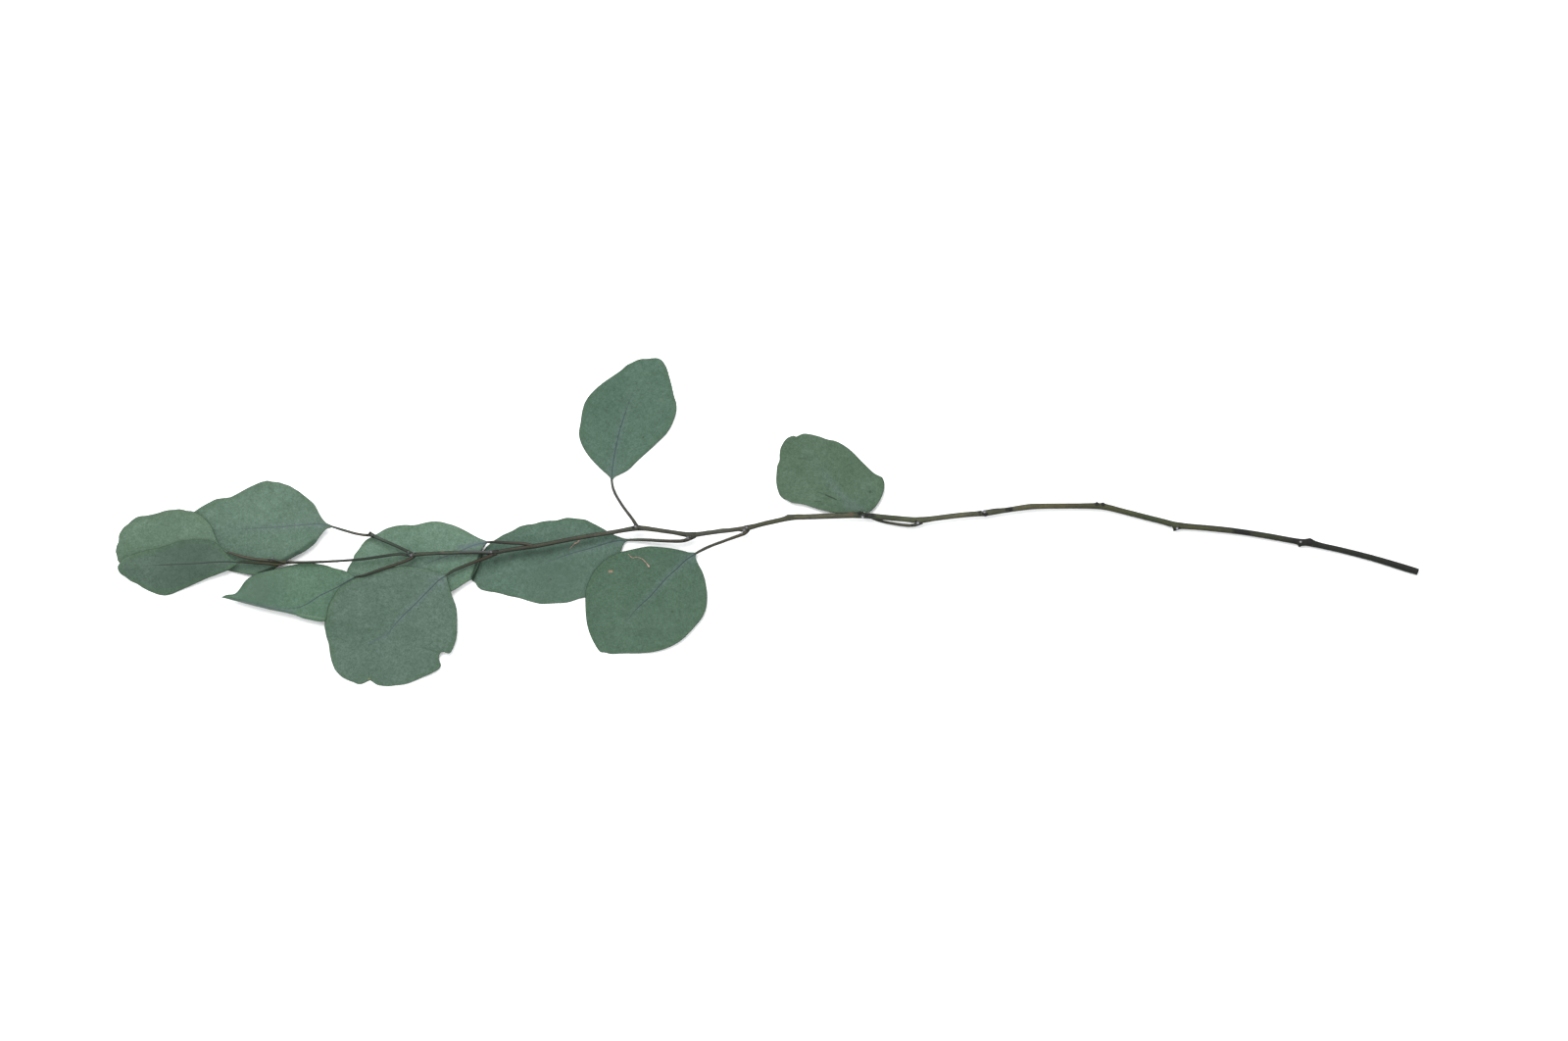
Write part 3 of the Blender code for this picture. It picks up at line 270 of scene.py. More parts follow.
        "stalk": [(284.5, 575.8, 6.75, 0.56), (275.0, 575.2, 6.80, 0.60), (265.0, 574.5, 6.80, 0.60),
                  (255.0, 573.8, 6.75, 0.56), (245.0, 573.3, 6.60, 0.50)],
        "mid": [(244, 573.6), (235, 573.2), (225, 573.3), (215, 573.8), (205, 574.7), (195, 575.3),
                (185, 575.7), (175, 576), (160, 576.7), (140, 577.2), (120.4, 577.5)],
        "one": [(240, 571.6), (236, 569.3), (232, 565.5), (228, 561), (223, 556), (220, 553.5),
                (215, 551.5), (210, 550.7), (204, 550), (197, 550.6), (190, 551.5), (183, 552.3),
                (176, 554.5), (170, 557), (160, 559.5), (150, 561.5), (140, 564.5), (133, 567), (127, 570),
                (123, 574), (120.4, 577.5)],
        "two": [(240, 577), (235, 580), (232.5, 581.5), (225, 584.5), (220, 586.5), (213, 589), (205, 592.5),
                (193, 598), (186, 601), (180, 603.5), (175, 605.7), (168, 607), (163, 606.5), (157, 604.5),
                (152, 602.5), (146, 599.5), (140, 595.5), (133, 592), (128, 588), (122.5, 584),
                (120.6, 580.5), (120.4, 577.5)],
        "lift": [(6.6, 6.6, 5.9, 4.9, 3.5, 2.0), (6.6, 6.0, 5.1, 4.1, 3.0, 2.0),
                 (6.6, 4.2, 2.1, 0.7, 0.15, 1.2)],
    },
}

# Where each stalk runs on inside the wood it grew from: grid x, grid y, height, radius.
STALK_ROOTS = {
    "leaf_upright": [(650.8, 538.2, 6.85, 0.98), (649.8, 536.6, 6.78, 0.92)],
    "leaf_beside_stem": [(941.0, 532.4, 4.30, 1.00), (937.4, 534.2, 4.00, 0.86), (933.8, 535.6, 3.66, 0.72)],
    "leaf_lower_right": [(763.4, 540.0, 5.80, 1.04), (761.8, 542.2, 5.72, 0.94)],
    "leaf_middle": [(709.6, 546.4, 6.25, 1.00), (705.6, 548.6, 6.18, 0.92)],
    "leaf_inner": [(549.0, 557.2, 8.10, 0.76), (543.5, 556.4, 8.08, 0.72), (538.0, 555.2, 8.03, 0.69)],
    "leaf_lower_large": [(507.0, 564.4, 8.42, 0.96), (502.6, 566.2, 8.33, 0.90)],
    "leaf_folded": [(423.0, 567.2, 9.00, 0.80), (420.4, 569.2, 8.98, 0.70)],
    "leaf_upper_left": [(379.0, 546.0, 7.85, 0.70), (376.4, 546.0, 7.80, 0.64)],
    "leaf_end_upper": [(294.0, 574.0, 7.10, 0.60), (289.0, 573.7, 6.40, 0.58)],
    "leaf_end_lower": [(297.0, 573.9, 7.40, 0.54), (291.0, 574.3, 7.05, 0.52)],
}
# Thickenings and small growths on the wood: grid x, grid y, height, how far they stand out (mm),
# half-length along the wood and half-width round it (mm), lean along the wood (mm).
BUMPS = {
    "main_stem": [
        (1337.0, 549.9, 2.8, 0.95, 1.5, 0.9, -0.2), (1342.0, 551.0, 3.0, 0.30, 2.0, 1.0, 0.0),
        (1326.0, 556.6, 2.3, 1.20, 0.75, 0.80, 0.2), (1330.0, 556.0, 2.4, 0.30, 1.4, 0.8, 0.0),
        (1198.6, 540.8, 2.9, 1.55, 0.62, 0.62, 0.5), (1201.4, 539.4, 3.0, 0.75, 1.0, 0.80, 0.1),
        (1205.0, 533.2, 3.3, 0.12, 1.6, 1.0, 0.0),
        (1119.4, 513.6, 3.8, 0.80, 0.60, 0.60, 0.0), (1125.8, 514.2, 3.9, 0.66, 0.80, 0.7, 0.0),
        (1031.0, 518.4, 5.6, 0.22, 0.9, 0.7, 0.0), (1016.5, 519.0, 4.3, 0.14, 2.4, 1.2, 0.0),
        (1005.6, 525.6, 5.0, 0.62, 0.62, 0.62, 0.1), (1003.4, 522.0, 5.8, 0.42, 0.8, 0.8, 0.2),
        (936.4, 534.0, 4.9, 0.60, 1.0, 0.8, 0.6), (940.0, 528.0, 4.9, 0.10, 2.2, 1.4, 0.0),
        (877.8, 523.6, 6.7, 0.62, 0.62, 0.6, 0.2), (880.4, 527.4, 7.0, 0.28, 0.9, 0.8, 0.0),
        (868.0, 523.6, 6.3, 0.10, 1.4, 0.8, 0.0),
        (804.8, 525.8, 6.2, 0.34, 1.1, 0.9, 0.2), (783.3, 531.0, 6.4, 0.08, 1.6, 0.9, 0.0),
        (762.4, 536.4, 6.3, 0.28, 1.6, 1.0, 0.3), (758.6, 541.4, 6.5, 0.42, 1.1, 0.8, 0.8),
        (767.0, 534.6, 6.5, 0.16, 0.8, 0.6, 0.0),
        (738.0, 539.6, 6.4, 0.12, 1.2, 0.8, 0.0), (722.5, 541.4, 6.5, 0.16, 1.4, 0.8, 0.0),
        (703.0, 548.6, 6.6, 0.50, 1.0, 0.7, 0.8), (706.0, 543.0, 6.8, 0.12, 2.0, 1.2, 0.0),
        (649.2, 537.0, 7.3, 0.58, 0.8, 0.8, 0.6), (660.0, 536.8, 7.2, 0.12, 1.6, 0.9, 0.0),
        (641.0, 538.8, 7.4, 0.22, 0.8, 0.6, 0.0),
        (591.0, 548.2, 7.9, 0.10, 1.0, 0.6, 0.0), (545.0, 556.0, 8.3, 0.16, 1.6, 0.9, 0.3),
        (504.4, 562.8, 9.2, 0.42, 0.9, 0.7, 0.8), (468.0, 562.6, 9.3, 0.12, 0.5, 0.5, 0.0),
        (420.8, 565.6, 10.0, 0.35, 0.9, 0.8, 0.4), (518.5, 560.4, 8.8, 0.10, 0.6, 0.5, 0.0),
    ],
    "upper_twig": [(377.6, 543.2, 8.3, 0.42, 0.7, 0.7, 0.2), (380.6, 545.8, 8.8, 0.30, 0.6, 0.6, 0.0),
                   (393.0, 551.4, 8.8, 0.10, 1.0, 0.6, 0.0)],
    "terminal_twig": [(278.4, 569.2, 7.9, 0.60, 0.6, 0.6, 0.1), (289.0, 573.0, 8.1, 0.08, 1.0, 0.7, 0.0)],
}
# Pale waxy bloom and dark scars, as seen from above: grid x, grid y, half-size (mm), strength.
WAX = [
    (1327.4, 552.8, 0.62, 1.0), (1201.4, 539.2, 0.76, 1.0), (1195.6, 537.8, 0.56, 0.90),
    (1002.4, 520.9, 0.80, 1.0), (1004.8, 522.4, 0.66, 0.95), (936.8, 533.8, 0.84, 1.0), (933.4, 533.6, 0.50, 0.75),
    (880.4, 527.8, 0.86, 1.0), (881.6, 524.6, 0.40, 0.5), (762.0, 538.0, 0.76, 0.74),
    (759.4, 541.0, 0.94, 0.78), (757.0, 544.0, 0.76, 0.72), (701.8, 548.4, 0.94, 0.78), (704.6, 547.4, 0.6, 0.5),
    (648.6, 537.0, 0.72, 0.84), (501.2, 563.2, 0.62, 0.76), (498.6, 562.8, 0.40, 0.6),
    (419.8, 566.4, 0.84, 0.72), (416.8, 563.4, 0.74, 0.60), (422.4, 563.8, 0.60, 0.54), (278.1, 568.6, 0.76, 0.70),
    (380.2, 546.2, 0.60, 0.52),
]
SCARS = [
    (1322.0, 550.6, 2.0, 0.75), (1329.6, 551.0, 1.9, 0.85), (1337.0, 551.6, 2.8, 0.85), (1326.0, 557.0, 1.10, 1.0),
    (1344.0, 553.6, 2.2, 0.55), (1262.6, 541.4, 2.1, 1.0), (1268.4, 543.0, 2.2, 1.0), (1273.6, 544.4, 1.4, 0.85),
    (1257.8, 540.6, 1.0, 0.5), (1197.6, 542.0, 1.45, 1.0), (1195.2, 539.6, 0.7, 0.9), (1203.8, 538.6, 0.75, 0.9),
    (1206.6, 535.2, 1.2, 0.40), (1119.4, 513.8, 1.20, 1.0), (1126.0, 514.2, 1.35, 1.0), (1121.8, 515.6, 0.7, 0.5),
    (1006.0, 525.4, 1.35, 1.0), (1003.4, 524.2, 0.72, 0.9), (1000.2, 522.0, 0.95, 1.0), (1000.4, 525.2, 0.60, 0.7),
    (1031.0, 519.2, 1.45, 1.0), (1027.4, 520.0, 0.95, 0.8), (1023.4, 520.6, 0.60, 0.45), (1016.0, 520.4, 0.6, 0.45),
    (939.6, 534.6, 0.8, 0.9), (931.0, 535.8, 1.0, 0.8), (934.8, 532.0, 0.8, 0.8), (877.6, 523.4, 1.30, 1.0),
    (884.6, 525.0, 1.5, 0.75), (890.0, 525.4, 1.7, 0.55), (875.0, 528.0, 0.8, 0.5), (804.0, 525.8, 0.7, 0.4),
    (762.8, 536.4, 0.8, 0.7), (763.8, 541.2, 0.9, 0.8), (755.2, 542.4, 0.9, 0.8), (760.0, 545.8, 0.8, 0.7),
    (698.6, 547.2, 0.9, 0.8), (706.2, 550.4, 1.0, 0.9), (698.4, 551.8, 0.9, 0.6), (708.6, 544.4, 1.2, 0.5),
    (645.8, 536.8, 0.8, 0.8), (652.8, 536.0, 0.7, 0.8), (646.4, 538.4, 0.9, 0.8), (651.8, 539.6, 0.8, 0.7),
    (641.4, 538.8, 0.5, 0.5), (504.4, 561.0, 0.8, 0.85), (507.8, 561.6, 0.9, 0.8), (503.6, 565.4, 0.9, 0.8),
    (423.8, 563.8, 0.8, 0.7), (423.0, 568.4, 0.9, 0.7), (415.6, 566.2, 0.7, 0.7), (416.0, 561.4, 0.6, 0.6),
    (377.0, 543.4, 0.95, 1.0), (375.4, 545.6, 0.90, 1.0), (380.4, 547.8, 0.80, 1.0), (383.8, 546.0, 0.5, 0.5),
    (275.2, 570.8, 0.85, 1.0), (280.6, 568.4, 0.40, 0.6), (294.0, 574.2, 1.1, 0.85),
]


# ---------------------------------------------------------------- curves and surfaces
def hermite(knots, values, s):
    """A cubic curve through values at knots, with tangents from the neighbouring points."""
    slope = np.diff(values, axis=0) / np.diff(knots)[:, None]
    tangent = np.empty_like(values)
    tangent[0], tangent[-1] = slope[0], slope[-1]
    before, after = np.diff(knots)[:-1, None], np.diff(knots)[1:, None]
    tangent[1:-1] = (slope[:-1] * after + slope[1:] * before) / (before + after)
    i = np.clip(np.searchsorted(knots, s, side="right") - 1, 0, len(knots) - 2)
    h = (knots[i + 1] - knots[i])[:, None]
    x = ((s - knots[i]) / (knots[i + 1] - knots[i]))[:, None]
    return ((2 * x**3 - 3 * x**2 + 1) * values[i] + (x**3 - 2 * x**2 + x) * h * tangent[i]
            + (-2 * x**3 + 3 * x**2) * values[i + 1] + (x**3 - x**2) * h * tangent[i + 1])


def curve_at(points, share):
    """Points at the given shares (0 to 1) of a smooth curve's length, through all its points."""
    points = np.array(points, float)
    steps = np.linalg.norm(np.diff(points[:, :2], axis=0), axis=1)
    knots = np.concatenate([[0.0], np.cumsum(steps)])
    return hermite(knots / knots[-1], points, np.asarray(share, float))


def level_at(levels, share):
    """Heights at the given shares (0 to 1), through levels that are equally spaced."""
    values = np.array(levels, float)[:, None]
    return hermite(np.linspace(0.0, 1.0, len(values)), values, np.asarray(share, float))[:, 0]


def place(xy):
    """Layout grid to metres."""
    xy = np.asarray(xy, float)
    return np.stack([(xy[..., 0] - CENTRE[0]) * GRID, (CENTRE[1] - xy[..., 1]) * GRID], axis=-1)


def smooth_step(x, low, high):
    x = np.clip((x - low) / (high - low), 0.0, 1.0)
    return x * x * (3 - 2 * x)


MARGIN_GROWTH = 0.34          # mm
LEAVES["leaf_folded"]["tip"] = 0.6
LEAVES["leaf_end_lower"]["grow"] = 0.55
LEAVES["leaf_inner"]["near_stalk"] = (0.0002, 0.0022)


def margin(leaf, side):
    """A margin in metres, from the stalk's side to the tip."""
    mid = place(leaf["mid"])
    along = mid[1] - mid[0]
    along /= np.linalg.norm(along)
    across = np.array([-along[1], along[0]])
    points = place(leaf[side])
    if (points[len(points) // 3] - mid[0]) @ across < 0:
        across = -across
    ahead = np.gradient(points, axis=0)
    outward = np.stack([ahead[:, 1], -ahead[:, 0]], axis=1)
    outward /= np.linalg.norm(outward, axis=1, keepdims=True)
    if outward[len(points) // 3] @ across < 0:
        outward = -outward
    outward[-1] = (mid[-1] - mid[-2]) / np.linalg.norm(mid[-1] - mid[-2]) * leaf.get("tip", 1.0)
    ease = leaf.get("grow", 1.0) * smooth_step(np.linalg.norm(points - mid[0], axis=1), *leaf.get("near_stalk", (0.001, 0.006)))
    # three places stay open: a gap by the end of the terminal twig, a notch in a rim, a thin tip
    for at, near, far, least in (((294.0, 577.0), 0.004, 0.011, -0.7), ((453.0, 671.5), 0.0025, 0.006, -0.9),
                                 ((236.0, 605.5), 0.004, 0.009, -0.25)):
        away = np.linalg.norm(points - place(at), axis=1)
        ease = ease * (least + (1 - least) * smooth_step(away, near, far))
    if "near_stalk" in leaf:
        away = np.linalg.norm(points - place((494.0, 557.5)), axis=1)
        ease = ease * (2.6 - 1.6 * smooth_step(away, 0.0010, 0.0035))
    points = points + outward * (MARGIN_GROWTH * MM * ease)[:, None]
    return np.vstack([mid[0] + across * leaf["stalk"][-1][3] * MM, points])


def midrib(leaf):
    """The midrib in metres; its end keeps to the margins' end."""
    mid = place(leaf["mid"])
    mid[-1] += (mid[-1] - mid[-2]) / np.linalg.norm(mid[-1] - mid[-2]) * MARGIN_GROWTH * MM * leaf.get("tip", 1.0)
    return mid


def waves(rng, a, b, count, low, high):
    """A smooth random surface over two coordinates (mm): a sum of plane waves, about -1 to 1."""
    out = np.zeros(np.broadcast(a, b).shape)
    for _ in range(count):
        length = rng.uniform(low, high)
        turn = rng.uniform(0, 2 * np.pi)
        out += np.sin((a * np.cos(turn) + b * np.sin(turn)) * 2 * np.pi / length + rng.uniform(0, 2 * np.pi))
    return out / math.sqrt(count)


def blade(leaf, rng):
    """The blade's middle surface and, at each of its points, what the finish needs to know."""
    even = np.linspace(0.0, 1.0, BLADE_ROWS)
    t = (0.45 * even + 0.55 * (0.5 - 0.5 * np.cos(np.pi * even)))
    t = np.concatenate([t[t < 0.987], [0.9875, 0.9915, 0.9945, 0.9970, 0.9988, 1.0]])
    half = np.concatenate([np.linspace(0.0, 0.972, HALF_COLUMNS), [0.980, 0.986, 0.9910, 0.9950, 0.9980, 1.0]])
    v = np.concatenate([-half[:0:-1], half])
    one, two, mid = margin(leaf, "one"), margin(leaf, "two"), midrib(leaf)
    edge = [curve_at(one, TIP_SHARE * t), curve_at(two, TIP_SHARE * t)]
    rib = curve_at(mid, t)
    flat = np.empty((len(t), len(v), 2))
    height = np.empty((len(t), len(v)))
    lifts = [level_at(x, t) * MM for x in leaf["lift"]]
    for j, x in enumerate(v):
        side, lift = (edge[0], lifts[0]) if x < 0 else (edge[1], lifts[2])
        flat[:, j] = rib + (side - rib) * abs(x)
        height[:, j] = lifts[1] + (lift - lifts[1]) * abs(x) ** CURL_POWER
    around = np.array([curve_at(one if x < 0 else two, [1.0 - (1.0 - TIP_SHARE) * abs(x)])[0] for x in v])
    flat += (t**4)[:, None, None] * (around - flat[-1])[None]
    # distances in millimetres: along the midrib, out from it, in from the rim
    run = np.concatenate([[0.0], np.cumsum(np.linalg.norm(np.diff(rib, axis=0), axis=1))]) / MM
    out = np.linalg.norm(flat - rib[:, None], axis=2) / MM * np.sign(v)[None]
    long_way = np.repeat(run[:, None], len(v), axis=1)
    near_side = np.minimum((1 - np.abs(v))[None] * np.maximum(np.linalg.norm(np.where((v < 0)[None, :, None],
                 edge[0][:, None], edge[1][:, None]) - rib[:, None], axis=2) / MM, 0.01), 60.0)
    near_tip = (1 - t)[:, None] * run[-1] + 0.0 * near_side
    rim = np.minimum(near_side, near_tip)
    # the blade isn't a sheet of paper: it ripples a little, most of all near the rim
    ease = smooth_step(t, 0.02, 0.30)[:, None] * (1 - 0.6 * smooth_step(t, 0.9, 1.0))[:, None]
    ripple = 0.11 * waves(rng, long_way, out, 5, 16, 34) + 0.035 * waves(rng, long_way, out, 6, 5, 9)
    curl = 0.16 * np.abs(v)[None] ** 5 * waves(rng, long_way, 0.4 * out, 3, 10, 20)
    height += (ripple + curl) * ease * MM * leaf.get("ripple", 1.0)
    low = BLADE_THICKNESS / 2 + 0.00003
    soft = 0.00007
    height = np.where(height - low > 8 * soft, height, low + soft * np.log1p(np.exp((height - low) / soft)))
    return np.concatenate([flat, height[..., None]], axis=2), t, v, long_way, out, rim, run[-1]


def upward_normals(grid):
    n = np.cross(np.gradient(grid, axis=0), np.gradient(grid, axis=1))
    n /= np.maximum(np.linalg.norm(n, axis=2, keepdims=True), 1e-15)
    return np.where(n[..., 2:3] < 0, -n, n)


def mesh_from(name, points, faces, values):
    """A closed, smooth-shaded mesh with float values at its points."""
    mesh = bpy.data.meshes.new(name)
    mesh.from_pydata([tuple(p) for p in points], [], faces)
    mesh.validate()
    mesh.update()
    for key, data in values.items():
        layer = mesh.attributes.new(key, "FLOAT", "POINT")
        layer.data.foreach_set("value", np.asarray(data, np.float32))
    mesh.shade_smooth()
    obj = bpy.data.objects.new(name, mesh)
    bpy.context.scene.collection.objects.link(obj)
    return obj


def volume(points, faces):
    """The signed volume, to tell whether the faces point out."""
    total = 0.0
    for f in faces:
        a = points[f[0]]
        for k in range(1, len(f) - 1):
            total += a @ np.cross(points[f[k]], points[f[k + 1]])
    return total


def marks_at(points, marks):
    """How strongly each point lies in the marks, as seen from above."""
    out = np.zeros(len(points))
    for x, y, size, strength in marks:
        d2 = ((points[:, :2] - place((x, y))) ** 2).sum(1) / (size * MM) ** 2
        out = np.maximum(out, strength * np.exp(-d2))
    return out


def make_leaf(name, leaf, number):
    """A leaf with its stalk: one closed loft from the round stalk to the thin blade."""
    rng = np.random.default_rng(100 + number)
    grid, t, v, along, out, rim, length = blade(leaf, rng)
    normal = upward_normals(grid)
    thick = BLADE_THICKNESS / 2
    q = np.clip(1 - rim / 0.34, 0, 1)
    body = thick * np.maximum(np.sqrt(np.maximum(1 - q * q, 0)), 0.12)
    # the midrib: a fine furrow above, a rounded rib below that thins towards the tip
    share = along / length
    stalk_r = leaf["stalk"][-1][3]
    furrow = 0.10 * (1 - 0.75 * share) * np.exp(-(out / (0.34 - 0.12 * share)) ** 2) * smooth_step(along, 1.5, 5.0)
    rib = 0.34 * (1 - share) ** 0.8 * np.exp(-(out / (0.62 - 0.30 * share)) ** 2) * (1 - smooth_step(share, 0.9, 1.0))
    swell = (stalk_r * MM - thick) * np.exp(-along / 1.6) * np.sqrt(np.clip(1 - (out / stalk_r) ** 2, 0, 1))
    # side veins, faintly sunk above
    vein = np.abs(((along - 0.95 * np.abs(out) + 0.7 * waves(rng, along, out, 4, 8, 20)) / 4.6 + 0.5) % 1.0 - 0.5) * 4.6
    vein = np.exp(-(vein / 0.34) ** 2) * smooth_step(np.abs(out), 0.6, 2.5) * smooth_step(rim, 0.8, 3.0)
    upper = grid + normal * (body + swell - (furrow + 0.022 * vein) * MM)[..., None]
    lower = grid - normal * (body + swell + rib * MM)[..., None]
    lower[..., 2] = np.maximum(lower[..., 2], 0.00002)
    upper[..., 2] = np.maximum(upper[..., 2], lower[..., 2] + 0.00004)

    # round sections along the stalk, with the blade's own spacing across
    path = np.array(STALK_ROOTS[name] + leaf["stalk"], float)
    xyzr = np.concatenate([place(path[:, :2]), path[:, 2:] * MM], axis=1)
    stalk_length = np.linalg.norm(np.diff(xyzr[:, :3], axis=0), axis=1).sum()
    rows = max(int(stalk_length / STALK_STEP), 12)
    where = np.linspace(0.0, 1.0, rows + 1)[:-1]
    at = curve_at(xyzr, where)
    ahead = curve_at(xyzr, np.minimum(where + 0.01, 1.0))[:, :3] - curve_at(xyzr, np.maximum(where - 0.01, 0.0))[:, :3]
    mid, one = place(leaf["mid"]), margin(leaf, "one")
    d = mid[1] - mid[0]
    turn = np.sign(d[0] * (one[0] - mid[0])[1] - d[1] * (one[0] - mid[0])[0])
    c = 0.998 * v
    s = np.sqrt(1 - c * c)
    spread = 0.13 * MM * (1 - smooth_step(where, 0.80, 1.0))
    stalk_upper, stalk_lower, back, sides = [], [], [], []
    knots = 0.035 * waves(rng, where * stalk_length / MM, 0.0 * where, 5, 3, 9)
    for k, (centre, forward) in enumerate(zip(at, ahead)):
        forward = forward / np.linalg.norm(forward)
        across = np.array([forward[1], -forward[0], 0.0]) * turn
        across /= np.linalg.norm(across)
        up = np.cross(across, forward)
        up = up if up[2] > 0 else -up
        r = centre[3] * (1 + knots[k] * (1 - where[k]))
        fade = smooth_step(where[k], 0.45, 1.0)
        groove = 0.10 * fade * np.exp(-(c / 0.35) ** 2)
        stalk_upper.append(centre[:3] + (r + spread[k]) * across * c[:, None] + r * up * (s * (1 - groove))[:, None])
        stalk_lower.append(centre[:3] + (r + spread[k]) * across * c[:, None] - r * up * s[:, None])
        back.append(-(1 - where[k]) * stalk_length / MM)
        sides.append(c * (1.0 if across[1] > 0 else -1.0))
    stalk_upper, stalk_lower, back = np.array(stalk_upper), np.array(stalk_lower), np.array(back)
    stalk_lower[..., 2] = np.maximum(stalk_lower[..., 2], 0.00002)

    top = np.concatenate([stalk_upper, upper])
    bottom = np.concatenate([stalk_lower, lower])
    m, n = top.shape[:2]
    points = np.concatenate([top.reshape(-1, 3), bottom.reshape(-1, 3)])
    def index(i, j, below):
        return below * m * n + i * n + j
    faces = []
    for i in range(m - 1):
        for j in range(n - 1):
            faces.append((index(i, j, 0), index(i, j + 1, 0), index(i + 1, j + 1, 0), index(i + 1, j, 0)))
            faces.append((index(i, j, 1), index(i + 1, j, 1), index(i + 1, j + 1, 1), index(i, j + 1, 1)))
        for j, flip in ((0, False), (n - 1, True)):
            f = (index(i, j, 0), index(i + 1, j, 0), index(i + 1, j, 1), index(i, j, 1))
            faces.append(f[::-1] if flip else f)
    for i, flip in ((0, True), (m - 1, False)):
        for j in range(n - 1):
            f = (index(i, j, 0), index(i, j + 1, 0), index(i, j + 1, 1), index(i, j, 1))
            faces.append(f if flip else f[::-1])
    if volume(points, faces) < 0:
        faces = [f[::-1] for f in faces]

    def both(on_stalk, on_blade):
        a = np.concatenate([np.broadcast_to(on_stalk, (rows, n)), on_blade])
        return np.concatenate([a.ravel(), a.ravel()])
    woody = both((1 - 0.45 * smooth_step(back, -4.0, 0.0))[:, None],
                 0.55 * np.exp(-along / 1.3) * np.exp(-(out / 0.8) ** 2))
    values = {
        "along_mm": both(back[:, None], along),
        "out_mm": both(0.0, out),
        "rim_mm": both(9.0, rim),
        "side": both(np.array(sides), np.clip(out / stalk_r, -1, 1) * np.exp(-along / 1.2)[...]
                     * (1.0 if sides[-1][-1] > 0 else -1.0)),
        "stalk": woody,
        "under": np.concatenate([np.zeros(m * n), np.ones(m * n)]),
        "wax": marks_at(points, WAX) * woody,
        "scar": marks_at(points, SCARS) * woody,
    }
    obj = mesh_from(name + "_leaf", points, faces, values)
    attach(obj, "root")
    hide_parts(name)
    return obj, length


